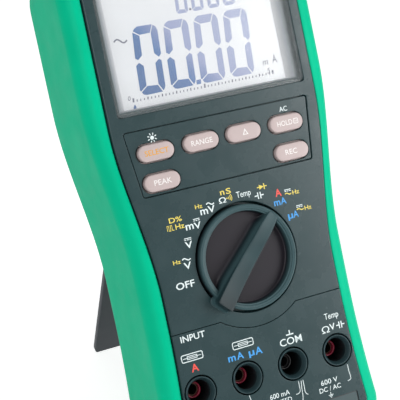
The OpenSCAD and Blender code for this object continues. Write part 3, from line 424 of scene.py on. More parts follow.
def crease(piece, sharp=CREASE, even=True, joined=0):
    """Smooth shading with creases above an angle in degrees; even also evens the normals of flat faces."""
    bm = bmesh.new()
    bm.from_mesh(piece.data)
    if joined:
        bmesh.ops.remove_doubles(bm, verts=bm.verts, dist=joined)
    for face in bm.faces:
        face.smooth = True
    for edge in bm.edges:
        edge.smooth = len(edge.link_faces) == 2 and edge.calc_face_angle(4) < math.radians(sharp)
    bm.to_mesh(piece.data)
    bm.free()
    if even:
        piece.modifiers.new("even_normals", "WEIGHTED_NORMAL").keep_sharp = True


def cut(piece, tools, operation="DIFFERENCE"):
    """Applies boolean cuts to a piece; the tools go away with their meshes."""
    piece.modifiers.clear()
    for tool in tools:
        modifier = piece.modifiers.new("cut", "BOOLEAN")
        modifier.operation = operation
        modifier.solver = "EXACT"
        modifier.object = tool
    mesh = bpy.data.meshes.new_from_object(piece.evaluated_get(bpy.context.evaluated_depsgraph_get()))
    piece.modifiers.clear()
    old = [piece.data, *(tool.data for tool in tools)]
    piece.data = mesh
    for data in old:
        bpy.data.meshes.remove(data)


def box_shape(x0, x1, y0, y1, z0, z1):
    loop = [(x0, y0), (x1, y0), (x1, y1), (x0, y1)]
    return Shape().solid([at(loop, z0), at(loop, z1)])


# ---- holster ----
def round_skin(outline, z_back, z_front, r_back, r_width, r_depth, steps=10):
    """Loops of the holster's outside from its flat back round to its lips."""
    return ([at(outline(r_back * s), z_back + r_back * c) for s, c in quarter(steps)]
            + [at(outline(r_width * c), z_front - r_depth * s) for s, c in quarter(steps)])


HINGE = TO_FACE @ Vector(JOINTS["stand_fold"]["pos_m"])
STAND_HALF = 31.4
STAND_THICK = 2.5
STAND_ANGLE = -JOINTS["stand_fold"]["range_deg"][0]
STAND_GAP = 0.6
LUG_R = 4.2
LUG_ROUND = 0.6
LUG_LONG = 7.5
PIN_R = 1.7
PIN_LONG = 5.5
BORE_R = PIN_R + 0.08
BORE_LONG = 5.3
STAND_CORNER = 5.5
RECESS_FLOOR = HINGE.z + 2.6
RECESS_TOP = HINGE.y + 3.27
LIP_EDGE = 0.5


def make_holster():
    shape = Shape()
    outer = round_skin(holster_ring, BACK_Z, LIP_Z, BACK_ROUND, LIP_ROUND[0], LIP_ROUND[1])
    shape.loft(outer)
    shape.cap(outer[0])
    lip = [at(face_ring(LIP_EDGE * s), LIP_Z - LIP_EDGE * c) for s, c in quarter(4)]
    inner = lip + [at(face_ring(0), LIP_Z - LIP_THICK), at(case_ring(HOLSTER_FIT), LIP_Z - LIP_THICK),
                   at(case_ring(HOLSTER_FIT), CASE_Z - HOLSTER_FIT)]
    shape.loft([outer[-1]] + inner)
    shape.cap(inner[-1])
    piece = shape.make("holster_shell", HOLSTER, slot="holster_rubber")
    cut(piece, hinge_rods(STAND_HALF - 2, [(LUG_R, 0), (LUG_R, LUG_LONG - LUG_ROUND),
                                           (LUG_R - 0.3 * LUG_ROUND, LUG_LONG - 0.3 * LUG_ROUND),
                                           (LUG_R - LUG_ROUND, LUG_LONG)], 48), "UNION")
    half = STAND_HALF + STAND_GAP
    recess = box_shape(-half, half, 3 - HOLSTER_FOOT + BACK_ROUND, RECESS_TOP, BACK_Z - 10, RECESS_FLOOR)
    bores = hinge_rods(half - 0.5, [(BORE_R, 0), (BORE_R, BORE_LONG)])
    cut(piece, [recess.tool(), *bores, below_bench()])
    crease(piece, joined=JOINED)
    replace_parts(piece, "holster")


def hinge_rods(start, profile, steps=32, place=Matrix.Translation(HINGE)):
    """Round tools at both ends of the hinge, from a distance off its middle outward, as (radius, height) pairs."""
    return [Shape().solid([at(circle(0, 0, r, steps), z) for r, z in profile]).moved(
        place @ Matrix.Translation((side * start, 0, 0)) @ Matrix.Rotation(math.radians(90 * side), 4, "Y")).tool()
        for side in (-1, 1)]


def below_bench():
    """Large box under the bench, which flattens what stands on it."""
    bpy.ops.mesh.primitive_cube_add(size=0.6, location=(0, 0, -0.3))
    return bpy.context.object


make_holster()


# ---- tilt stand ----
def make_stand():
    """Plate with round foot corners and softened edges, with its two hinge pins, cut flat on the bench."""
    drop = HINGE_DROP / math.cos(math.radians(STAND_ANGLE) - LEAN)
    tip = drop + STAND_THICK
    stop = (RECESS_FLOOR - HINGE.z - STAND_THICK / 2 * math.cos(math.radians(STAND_ANGLE))) / math.sin(
        math.radians(STAND_ANGLE)) - 0.05
    soft = 0.5

    def outline(grow):
        r = STAND_CORNER + grow
        return (arc(STAND_HALF + grow - r, r - tip - grow, r, -90, 0, 8) + [(STAND_HALF + grow, stop + grow)]
                + [(-STAND_HALF - grow, stop + grow)] + arc(r - STAND_HALF - grow, r - tip - grow, r, 180, 270, 8))

    rings = [at(outline(-soft * s), soft * c - STAND_THICK / 2) for s, c in quarter(3)]
    rings += [[(x, y, -z) for x, y, z in ring] for ring in reversed(rings)]
    tilt = Matrix.Translation(HINGE) @ Matrix.Rotation(math.radians(STAND_ANGLE), 4, "X")
    piece = Shape().solid(rings).moved(tilt).make("stand_plate", STAND_LOOKS, "stand", "stand_plastic")
    cut(piece, hinge_rods(STAND_HALF - 1, [(PIN_R, 0), (PIN_R, PIN_LONG)], place=tilt), "UNION")
    cut(piece, [below_bench()])
    crease(piece, joined=JOINED)
    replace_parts(piece, "tilt_stand")


LEAN = math.atan2(NORMAL.z, -NORMAL.y)
HINGE_DROP = (TO_WORLD @ HINGE).z / MM
make_stand()


# ---- front case ----
EDGE_ROUND = 0.6
SEAM_ROUND = 0.18
HOLE_ROUND = 0.2
FLANK_POINTS = 48
SEAM_ARC_POINTS = 36


def flank(y0, y1, grow, steps=FLANK_POINTS):
    return [(half_at(y0 + (y1 - y0) * i / steps, FACE_SWEEP) + grow, y0 + (y1 - y0) * i / steps)
            for i in range(steps + 1)]


def seam_line(y, r):
    """Seam from left to right between the flanks: straight, then an arc under the knob."""
    a = math.degrees(math.asin((KNOB_Y - y) / r))
    x = r * math.cos(math.radians(a))
    half = half_at(y, FACE_SWEEP) - 2.2
    straight = [half - (half - x) * i / 6 for i in range(6)]
    return ([(-v, y) for v in straight] + arc(0, KNOB_Y, r, 180 + a, 360 - a, SEAM_ARC_POINTS)
            + [(v, y) for v in reversed(straight)])


def upper_loop(side, seam, z_side, z_seam):
    """Outline of the upper face; side and seam say how far its edges are grown and where they lie."""
    top = FACE_TOP + side
    r = CORNER_TOP + side
    y = SEAM_Y - seam
    right = flank(y, top - r, side)
    half = right[-1][0]
    right += arc(half - r, top - r, r, 0, 90, ARC_STEPS)[1:]
    sides = right + [(-px, py) for px, py in reversed(right)]
    return at(sides, z_side) + at(seam_line(y, SEAM_R + seam), z_seam)


def panel_loop(side, seam, z_side, z_seam):
    """Outline of the input panel, whose upper edge follows the seam."""
    foot = FACE_FOOT + side
    r = CORNER_FOOT + side
    y = SEAM_Y - SEAM_GAP + seam
    half = half_at(r - foot, FACE_SWEEP) + side
    right = arc(half - r, r - foot, r, -90, 0, ARC_STEPS) + flank(r - foot, y, side, 24)[1:]
    left = [(-px, py) for px, py in reversed(right)]
    return at(left + right, z_side) + at(list(reversed(seam_line(y, SEAM_R + SEAM_GAP - seam))), z_seam)


def edge_rings(loop, wide=EDGE_ROUND):
    """Rounded edge of a face plate, from its flat top to its wall."""
    return [loop(-FACE_GAP - wide * s, -SEAM_ROUND * s, -wide * c, -SEAM_ROUND * c) for s, c in quarter(5)]


LENS_BOX = face_box("display_lens")
KEYPAD = face_box("keypad_bezel")
LENS_HALF = LENS_BOX[1].x
WINDOW = rounded(0.8 - LENS_HALF, LENS_HALF - 0.8, LENS_BOX[0].y + 1, LENS_BOX[1].y - 1, 0.6, 4)
DISH_R = 20.3
DISH_Z = -4.4
HUB_R = 7.06
BUTTONS = ["mode", "range", "relative", "hold", "peak", "record"]
BUTTON_BOX = {name: face_box(f"button_{name}") for name in BUTTONS}
PILL_HALF = 7.3
PILL_R = 3.45
KEY_INSET = 0.42
BUTTON_RIM = 0.8
BUTTON_FIT = 0.25
KEY_HOLE = 0.15
LENS_GAP = 0.12


def lens_ring(grow):
    return rounded(-LENS_HALF - grow, LENS_HALF + grow, LENS_BOX[0].y - grow, LENS_BOX[1].y + grow, 0.9 + grow)


def keypad_ring(grow):
    """Trapezoid of the keypad bezel with small round corners."""
    half = {1: KEYPAD[1].x, -1: 34.2}
    foot, top = KEYPAD[0].y, KEYPAD[1].y
    r = max(0.8 + grow, 0.05)
    loop = []
    for x, y, start in ((1, -1, -90), (1, 1, 0), (-1, 1, 90), (-1, -1, 180)):
        cx = x * (half[y] + grow - r)
        cy = (top + grow - r) if y > 0 else (foot - grow + r)
        loop += arc(cx, cy, r, start, start + 90, 5)
    return loop


def pill_ring(name, grow):
    low, high = BUTTON_BOX[name]
    cx, cy = (low.x + high.x) / 2, (low.y + high.y) / 2
    r = PILL_R + grow
    reach = PILL_HALF - PILL_R
    return arc(cx + reach, cy, r, -90, 90, 16) + arc(cx - reach, cy, r, 90, 270, 16)


PLATE_Z = -5.2


def make_front_case():
    plate = Shape()
    rings = edge_rings(upper_loop)
    back = upper_loop(-FACE_GAP, 0, PLATE_Z, PLATE_Z)
    lens = fillet(lens_ring, LENS_GAP, 0, HOLE_ROUND, outward=False)
    keypad = fillet(keypad_ring, FACE_GAP, 0, HOLE_ROUND, outward=False)
    dish = fillet(lambda g: circle(0, KNOB_Y, DISH_R + g, 96), 0, 0, 0.3, 5, outward=False)
    plate.loft(rings + [back]).cap(rings[0], [lens[0], keypad[0], dish[0]])
    ledge = at(lens_ring(LENS_GAP), LENS_BOX[0].z)
    plate.loft(lens + [ledge]).cap(ledge, [at(WINDOW, LENS_BOX[0].z)])
    plate.loft([at(WINDOW, LENS_BOX[0].z), at(WINDOW, PLATE_Z)])
    floor = KEYPAD[0].z
    pills = [at(pill_ring(name, BUTTON_FIT), floor) for name in BUTTONS]
    wide = [pill_ring(name, BUTTON_FIT + BUTTON_RIM) for name in BUTTONS]
    bed = at(keypad_ring(FACE_GAP), floor)
    plate.loft(keypad + [bed]).cap(bed, pills)
    for pill, room in zip(pills, wide):
        plate.loft([pill, at(room, floor), at(room, PLATE_Z)])
    hub = circle(0, KNOB_Y, HUB_R, 96)
    plate.loft(dish + [at(circle(0, KNOB_Y, DISH_R, 96), DISH_Z + 0.4),
                       at(circle(0, KNOB_Y, DISH_R - 0.4, 96), DISH_Z), at(hub, DISH_Z), at(hub, PLATE_Z)])
    plate.cap(back, [at(loop, PLATE_Z) for loop in (WINDOW, hub, *wide)])
    piece = plate.make("face_shell", SLATE, slot="face_plastic")
    rim = Shape()
    low, top, inner = -17, -3.4, -5.4
    rim.loft([at(case_ring(0), low), at(case_ring(0), top - 0.4), at(case_ring(-0.4), top),
              at(face_ring(-2.3), top), at(face_ring(-2.3), inner), at(case_ring(-2.2), inner),
              at(case_ring(-2.2), low), at(case_ring(0), low)])
    rim.make("face_rim", SLATE, slot="face_plastic")
    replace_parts(piece, "front_case")


JACK_HOLE_R = 6.35
LABEL_DEEP = 0.4


def label_ring(inset, r):
    """Outline of the label's recess at the foot of the input panel."""
    return rounded(inset - 33.5, 33.5 - inset, 1.2 + inset - FACE_FOOT, 9.5 - inset - FACE_FOOT, r)


def make_input_panel():
    plate = Shape()
    rings = edge_rings(panel_loop, 0.5)
    holes = [fillet(lambda g, x=x: circle(x, 0, JACK_HOLE_R + g), 0, 0, HOLE_ROUND, outward=False) for x in JACK_X]
    ends = [at(circle(x, 0, JACK_HOLE_R), -FACE_THICK) for x in JACK_X]
    label = label_ring(0, 0.6)
    back = panel_loop(-FACE_GAP, 0, -FACE_THICK, -FACE_THICK)
    plate.loft(rings + [back])
    plate.cap(rings[0], [hole[0] for hole in holes] + [at(label, 0)])
    plate.loft([at(label, 0), at(label, -LABEL_DEEP)]).cap(at(label, -LABEL_DEEP))
    for hole, end in zip(holes, ends):
        plate.loft(hole + [end])
    plate.cap(back, ends)
    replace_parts(plate.make("jack_panel", SLATE, slot="face_plastic"), "input_panel")
    # A thin black film round the label's recess, as painted shadow in the gap at its edge.
    painted_gap_shadow = Marks(0.02 - LABEL_DEEP, 0.02)
    inner = label_ring(0.35, 0.4)
    painted_gap_shadow.patch(label, inner)
    painted_gap_shadow.make("label_painted_shadow", BLACK_AND_PAINTED_SHADE)
    sheet = Marks(0.02 - LABEL_DEEP, 0.01)
    sheet.patch(inner)
    sheet.make("label_sheet", LABEL)


def make_keypad_bezel():
    plate = Shape()
    top, low = KEYPAD[1].z, KEYPAD[0].z
    rings = fillet(keypad_ring, 0, top, HOLE_ROUND)
    plate.loft(rings + [at(keypad_ring(0), low)])
    pills = {name: fillet(lambda g, name=name: pill_ring(name, g), KEY_HOLE, top, 0.2, outward=False)
             for name in BUTTONS}
    plate.cap(rings[0], [pill[0] for pill in pills.values()])
    for name, pill in pills.items():
        plate.loft(pill + [at(pill_ring(name, KEY_HOLE), low)])
    plate.cap(at(keypad_ring(0), low), [at(pill_ring(name, KEY_HOLE), low) for name in BUTTONS])
    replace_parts(plate.make("key_surround", SLATE, slot="face_plastic"), "keypad_bezel")


make_front_case()
make_keypad_bezel()


# ---- keys ----
def make_button(name):
    low, high = BUTTON_BOX[name]
    rim = low.z + BUTTON_RIM
    shape = Shape()
    loops = [at(pill_ring(name, BUTTON_RIM), low.z), at(pill_ring(name, BUTTON_RIM), rim),
             at(pill_ring(name, -KEY_INSET), rim)]
    edge = fillet(lambda g: pill_ring(name, g - KEY_INSET), 0, high.z - 0.1, 0.55, 7)
    crown = [at(pill_ring(name, -KEY_INSET - 0.55 - 0.5 * i), high.z - 0.1 + 0.1 * math.sin(math.radians(30 * i)))
             for i in range(1, 4)]
    shape.loft(loops + list(reversed(edge)) + crown).cap(loops[0]).cap(crown[-1])
    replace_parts(shape.make(f"key_{name}", KEY, f"button_{name}", "key_plastic"), f"button_{name}")


for key in BUTTONS:
    make_button(key)


# ---- selector ----
KNOB_BASE = DISH_Z + 1
RIM_OUT = 19.3
RIM_IN = 17.6
RIM_TOP = 2.1
RIM_CREST = 18.5
POCKET_R = 16.0
POCKET_Z = -2.0
POINTER = math.radians(45)
TAIL_END = -21.0
TIP_END = 18.9
TAIL_FLOOR = 0.35
BAR_TOP = [(-22.5, 6.1), (-21, 5.8), (-11.8, 3.9), (-1, 2.9), (7, 2.9), (12, 2.75), (17, 2.35), (20, 2.2)]
BAR_HALF = [(-22.5, 3.4), (-21, 3.35), (-12, 3.15), (-1, 2.9), (7, 2.7), (12, 2.65), (16, 2.3), (20, 1.7)]


def between(table, s):
    """Smooth value at s through the table's points."""
    last = len(table) - 1
    s = min(max(s, table[0][0]), table[last][0])
    k = max(i for i in range(last) if table[i][0] <= s)
    slope = []
    for i in (k, k + 1):
        low, high = table[max(i - 1, 0)], table[min(i + 1, last)]
        slope.append((high[1] - low[1]) / (high[0] - low[0]))
    (s0, v0), (s1, v1) = table[k], table[k + 1]
    d = s1 - s0
    t = (s - s0) / d
    return ((1 + 2 * t) * (1 - t) ** 2 * v0 + t * (1 - t) ** 2 * d * slope[0]
            + t * t * (3 - 2 * t) * v1 + t * t * (t - 1) * d * slope[1])


def bar_rib(grow):
    """Right half of the grip bar's outline from the middle of its tail to the middle of its tip, with normals."""
    def corner(x, half, r, start):
        turns = [math.radians(start + 15 * i) for i in range(7)]
        return [((x + r * math.cos(a), r - half + r * math.sin(a)), (math.cos(a), math.sin(a))) for a in turns]
    tail, tip = 1.0, 1.3
    low, high = TAIL_END + tail, TIP_END - tip
    points = [((TAIL_END, -v), (-1, 0)) for v in (0, 0.8, 1.6)] + corner(low, between(BAR_HALF, TAIL_END), tail, 180)
    for i in range(1, 60):
        s = low + (high - low) * i / 60
        points.append(((s, -between(BAR_HALF, s)), (0, -1)))
    half = between(BAR_HALF, high)
    points += corner(high, half, tip, 270) + [((TIP_END, 0.25 - 0.5 * half), (1, 0)), ((TIP_END, 0), (1, 0))]
    return [(s + n * grow(s), t + m * grow(s)) for (s, t), (n, m) in points]


def bar_floor(s):
    """Lowest level of the bar: the pocket's floor, and over the rim the tail's underside."""
    return POCKET_Z + (TAIL_FLOOR - POCKET_Z) * ease((-15.0 - s) / 4) + (1.0 - POCKET_Z) * ease((s - 14.5) / 3.5)


def bar_loop(spread, level, drop=0.0):
    """Loop round the bar: spread is its growth, level its place from the floor, 0, to the top, 1."""
    def grow(s):
        inside = 1 - ease((abs(s) - 11) / 6)
        tail = ease((-18 - s) / 3)
        return spread if spread < 0 else spread * (inside + 0.2 * tail + 0.22 * (1 - inside))
    right = bar_rib(grow)
    loop = right + [(s, -t) for s, t in reversed(right[1:-1])]
    return [(s, t, bar_floor(s) + level * (between(BAR_TOP, s) - bar_floor(s)) - drop) for s, t in loop]


def turned(points):
    """Carries points from the pointer's frame (along it, to its left, out of the face) into the face's frame."""
    c, s = math.cos(POINTER), math.sin(POINTER)
    return [(c * x - s * y, KNOB_Y + s * x + c * y, z) for x, y, z in points]


GROOVE = [(19.6, 1.5), (19.2, 0.9), (18.75, 0.4), (18.3, 0.0), (17.6, -0.6), (16.8, -0.95), (16.0, -1.08),
          (15.2, -1.05), (14.4, -0.95), (13.5, -0.8), (12.7, -0.64), (12.0, -0.5)]
GROOVE_R = 0.3


def groove_tool():
    """Rod along the hooked groove of the pointer's tip."""
    rings = []
    for i, (s, t) in enumerate(GROOVE):
        before, after = GROOVE[max(i - 1, 0)], GROOVE[min(i + 1, len(GROOVE) - 1)]
        ds, dt = after[0] - before[0], after[1] - before[1]
        size = math.hypot(ds, dt)
        r = GROOVE_R * min(1, 0.35 + 0.3 * (len(GROOVE) - 1 - i))
        section = [(r * math.cos(a), r * math.sin(a)) for a in (math.radians(45 * k) for k in range(8))]
        rings.append([(s - dt / size * aside, t + ds / size * aside, between(BAR_TOP, s) + rise + 0.02)
                      for aside, rise in section])
    return Shape().solid([turned(ring) for ring in rings]).tool()


def make_knob():
    shoulder = [(RIM_CREST + (RIM_OUT - RIM_CREST) * math.cos(math.radians(a)),
                 RIM_TOP - 0.75 * (1 - math.sin(math.radians(a)))) for a in range(0, 91, 15)]
    corner = [(POCKET_R + 0.2 + 0.6 * math.cos(math.radians(a)),
               POCKET_Z + 0.6 + 0.6 * math.sin(math.radians(a))) for a in range(-10, -91, -16)]
    ledge = ((0.2, 0.2), (0.03, 0.32), (-0.02, 0.55), (-0.1, 0.62), (-0.55, 0.66), (-0.65, 0.76), (-0.7, 1.1))
    profile = [(RIM_OUT, KNOB_BASE), *shoulder, (RIM_CREST - 0.1, RIM_TOP - 0.12),
               *((RIM_IN + r, RIM_TOP - z) for r, z in ledge), *corner]
    dial = Shape()
    dial.loft([at(circle(0, KNOB_Y, r, 128), z) for r, z in profile])
    dial.cap(at(circle(0, KNOB_Y, RIM_OUT, 128), KNOB_BASE))
    dial.cap(at(circle(0, KNOB_Y, corner[-1][0], 128), POCKET_Z))
    piece = dial.make("selector_dial", KNOB_PAINTED_SHADE_AND_LIGHT, "selector", "knob_plastic")
    bar = Shape()
    foot, wall, round_r = 2.5, 0.3, 0.32
    loops = [bar_loop(foot, 0, 0.5), bar_loop(foot, 0)]
    for i in range(1, 7):
        a = math.radians(13 * i)
        loops.append(bar_loop(foot - 1.5 * math.sin(a), 0.3 * (1 - math.cos(a)) + 0.02 * math.sin(a)))
    loops.append(bar_loop(wall + 0.15, 0.55))
    for s, c in quarter(4):
        loops.append([(along, aside, z) for (along, aside, _), (_, _, z)
                      in zip(bar_loop(-round_r * c - 1e-4, 1), bar_loop(0, 1, round_r * s))])
    bar.loft([turned(loop) for loop in loops])
    bar.cap(turned(loops[0]))
    top = loops[-1]
    half = len(top) // 2
    rows = []
    for i in range(half + 1):
        right, left = top[i], top[-i]
        rows.append([(right[0], right[1] * f, right[2] - 0.10 * (1 - f * f) * min(1, abs(right[1])))
                     for f in (1, 0.75, 0.5, 0.25, 0, -0.25, -0.5, -0.75, -1)] if 0 < i < half
                    else [(right[0], 0, right[2])] * 9)
    bar.loft([turned(row) for row in rows], closed=False)
    cut(piece, [bar.tool()], "UNION")
    cut(piece, [groove_tool()])
    crease(piece, 38, joined=JOINED)
    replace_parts(piece, "selector_knob")


make_knob()


# ---- jacks ----
SHROUD_R = 5.8
WELL_R = 4.35
SLEEVE_R = 3.1
SOCKET_R = 2.9
MOUTH_R = 2.4
MOUTH_DEPTH = 1.7
SHROUD_TOP = face_box("jack_shrouds")[1].z
SLEEVE = face_box("sleeve_a")
SOCKET_TOP = face_box("socket_a")[1].z


def turned_rings(x, profile, steps=72):
    return [at(circle(x, 0, r, steps), z) for r, z in profile]


def make_jacks():
    shrouds = Shape()
    low, top = face_box("jack_shrouds")[0].z, SHROUD_TOP
    mouth = top - MOUTH_DEPTH
    profile = [(SHROUD_R, low), (SHROUD_R, top - 0.3), (SHROUD_R - 0.05, top - 0.12), (SHROUD_R - 0.18, top - 0.02),
               (SHROUD_R - 0.34, top - 0.02), (SHROUD_R - 0.5, top - 0.12), (WELL_R + 0.2, mouth + 0.12),
               (WELL_R + 0.06, mouth - 0.02), (WELL_R, mouth - 0.3), (WELL_R, low)]
    for x in JACK_X:
        rings = turned_rings(x, profile)
        shrouds.loft(rings + [rings[0]])
    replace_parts(shrouds.make("jack_collars", COLLAR_PAINTED_SHADE, slot="face_plastic"), "jack_shrouds")
    low, high = SLEEVE[0].z, SLEEVE[1].z
    profile = [(WELL_R - 0.05, low + 1), (WELL_R - 0.05, low), (SOCKET_R, low), (SOCKET_R, SOCKET_TOP),
               (MOUTH_R, SOCKET_TOP), (MOUTH_R, high - 0.3), (MOUTH_R + 0.1, high - 0.1), (MOUTH_R + 0.28, high),
               (SLEEVE_R - 0.3, high), (SLEEVE_R - 0.09, high - 0.1), (SLEEVE_R, high - 0.35), (SLEEVE_R, low + 1)]
    for name, x in zip(JACKS, JACK_X):
        rings = turned_rings(x, profile, 56)
        looks, slot = (BLACK_AND_PAINTED_SHADE, "sleeve_black") if name == "com" else (RED, "sleeve_red")
        post = Shape().loft(rings + [rings[0]]).make(f"jack_sleeve_{name}", looks, slot=slot)
        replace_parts(post, f"sleeve_{name}")


make_jacks()


# ---- printed marks ----
class Marks(Shape):
    """Words, signs and strokes of one printed colour: a thin film at height z of the face."""
    even = False

    def __init__(self, z=0.0, film=0.03):
        super().__init__()
        self.low, self.high = z - film, z + film

    def patch(self, loop, *holes):
        """Printed area inside a loop and outside its holes."""
        for each in (loop, *holes):
            self.loft([at(each, self.low), at(each, self.high)])
        for z in (self.low, self.high):
            self.cap(at(loop, z), [at(hole, z) for hole in holes])

    def line(self, points, width):
        """Stroke of even width through points."""
        left, right = [], []
        for i, (x, y) in enumerate(points):
            x0, y0 = points[max(i - 1, 0)]
            x1, y1 = points[min(i + 1, len(points) - 1)]
            half = width / 2 / math.hypot(x1 - x0, y1 - y0)
            left.append((x - (y1 - y0) * half, y + (x1 - x0) * half))
            right.append((x + (y1 - y0) * half, y - (x1 - x0) * half))
        self.patch(left + right[::-1])

    def word(self, text, x, y, high, wide=None, fat=0.008, slant=0.0):
        """Word with its ink centred on x, y; high and wide are the ink's height and width."""
        curve = bpy.data.curves.new("word", "FONT")
        curve.body = text
        curve.extrude = 0.1
        curve.offset = fat
        curve.resolution_u = 3
        mesh = bpy.data.meshes.new_from_object(bpy.data.objects.new("word", curve))
        spots = [vertex.co for vertex in mesh.vertices]
        x0, x1 = min(p.x for p in spots), max(p.x for p in spots)
        y0, y1 = min(p.y for p in spots), max(p.y for p in spots)
        tall = high / (y1 - y0)
        broad = wide / (x1 - x0) if wide else tall
        index = self.add([(x + (p.x - (x0 + x1) / 2) * broad + slant * (p.y - (y0 + y1) / 2) * tall,
                           y + (p.y - (y0 + y1) / 2) * tall, self.high if p.z > 0 else self.low) for p in spots])
        self.faces += [tuple(index[k] for k in face.vertices) for face in mesh.polygons]

    def wave(self, x, y, wide, high, width):
        """Sign for alternating current."""
        self.line([(x + wide * (i / 16 - 0.5), y + high / 2 * math.sin(math.radians(22.5 * i))) for i in range(17)],
                  width)

    def steady(self, x, y, wide):
        """Sign for direct current: a line over three dashes."""
        self.line([(x - wide / 2, y + 0.28), (x + wide / 2, y + 0.28)], 0.28)
        for i in (-1, 0, 1):
            self.line([(x + wide * (i * 0.37 - 0.13), y - 0.28), (x + wide * (i * 0.37 + 0.13), y - 0.28)], 0.28)

    def capacitor(self, x, y, wide, high, width):
        for side in (-1, 1):
            self.line([(x + side * 0.14 * wide, y - high / 2), (x + side * 0.14 * wide, y + high / 2)], width)
            self.line([(x + side * 0.14 * wide, y), (x + side * wide / 2, y)], width)

    def diode(self, x, y):
        self.patch([(x - 1.1, y - 0.9), (x + 0.75, y), (x - 1.1, y + 0.9)])
        self.line([(x + 0.9, y - 1.1), (x + 0.9, y + 1.1)], 0.4)
        self.line([(x - 2.0, y), (x - 1.0, y)], 0.36)
        self.line([(x + 1.0, y), (x + 2.0, y)], 0.36)

    def sound(self, x, y, size):
        """A dot and three arcs."""
        self.patch(circle(x, y, 0.2 * size, 12))
        for i in (1, 2, 3):
            self.line(arc(x, y, 0.45 * size * i + 0.1 * size, -38, 38, 8), 0.2 * size)

    def sun(self, x, y):
        self.patch(circle(x, y, 0.72, 24))
        for i in range(8):
            a = math.radians(45 * i + 22.5)
            self.line([(x + r * math.cos(a), y + r * math.sin(a)) for r in (1.08, 1.78)], 0.36)

    def fused(self, x, y, wide, high):
        """Sign for a fused input: a round-cornered frame with a fuse in it."""
        def box(half, tall, r, steps):
            return rounded(x - half, x + half, y - tall, y + tall, r, steps)
        self.patch(box(wide / 2, high / 2, 0.7, 4), box(wide / 2 - 0.32, high / 2 - 0.32, 0.4, 4))
        self.patch(box(2.02, 0.67, 0.05, 1), box(1.78, 0.43, 0.05, 1))
        self.line([(x - wide / 2 + 0.7, y), (x + wide / 2 - 0.7, y)], 0.22)


SEGMENTS = {
    "a": [(-4.45, 10.75), (-3.95, 11.5), (-2.75, 12.2), (3.05, 12.1), (1.9, 9.25), (-2.15, 9.15)],
    "b": [(3.35, 11.85), (4.35, 11.1), (4.93, 9.7), (5.03, 1.25), (4.03, 0.25), (2.43, 1.85), (2.2, 9.0)],
    "c": [(2.35, -1.65), (3.96, -0.45), (4.85, -1.05), (4.96, -10.1), (4.6, -11.1), (4.05, -11.8), (2.45, -9.2)],
    "d": [(-4.35, -10.95), (-3.7, -11.9), (-2.5, -12.25), (3.7, -12.15), (2.15, -9.45), (-1.95, -9.15)],
    "e": [(-5.07, -1.45), (-3.83, -0.55), (-2.23, -1.95), (-2.24, -8.95), (-4.62, -10.65), (-4.95, -10.1)],
    "f": [(-4.75, 10.35), (-2.25, 8.8), (-2.3, 1.85), (-4.0, 0.45), (-5.05, 1.15)]}
SLANT = 0.072
GLASS_Z = -5.1
# The digits' colour runs from deep blue at the lower left to pale lavender at the upper right: painted glare washing
# them out.
DISPLAY_INK_PAINTED_GLARE = graded("display_ink_painted_glare_looks", [(0.16, (24, 84, 144)), (0.32, (44, 96, 156)), (0.44, (100, 120, 168)),
                                           (0.56, (138, 148, 186)), (1.0, (152, 160, 192))],
                     (1.15 * ACROSS + UP).normalized(), (0, 90, 0), (0, 140, 0), 0.3, 160, 0.06).material


def make_display():
    digits = Marks(GLASS_Z + 0.03, 0.03)
    for size, y, row in ((1, 119.85, (-19.63, -7.5, 4.5, 16.5)), (0.47, 139.6, (-2.6, 3.7, 10.1, 16.4))):
        for x in row:
            for outline in SEGMENTS.values():
                digits.patch([(x + size * (px + SLANT * py), y + size * py) for px, py in outline])
    digits.patch([(-3.35, 107.7), (-1.55, 107.75), (-1.3, 109.35), (-3.1, 109.3)])
    digits.patch([(-29.2, 103.35), (-28.1, 103.35), (-27.95, 104.3), (-28.35, 105.2), (-29.0, 104.3)])
    digits.make("display_digits", DISPLAY_INK_PAINTED_GLARE, slot="display_glass")
    scale = Marks(GLASS_Z + 0.03, 0.03)
    for i in range(41):
        x = -28.65 + 1.411 * i
        high, width = ((1.45, 0.65) if i % 20 == 0 else (1.0, 0.48) if i % 4 == 0 else (0.8, 0.36))
        scale.line([(x + 0.16 * v, 106.0 + v) for v in (0, high)], width)
    scale.word("0", -29.95, 107.6, 1.6, 1.0, 0, 0.15)
    scale.word("5", 26.45, 107.5, 2.0, 1.1, 0, 0.15)
    scale.word("m", 25.7, 110.6, 1.7, 2.2, 0, 0.1)
    scale.word("A", 29.7, 111.4, 3.0, 2.1, 0, 0.05)
    scale.wave(-28.7, 128.0, 5.0, 1.5, 0.55)
    scale.patch(circle(0.25, 134.8, 0.45, 12))
    scale.make("display_scale", SCALE_INK, slot="display_glass")


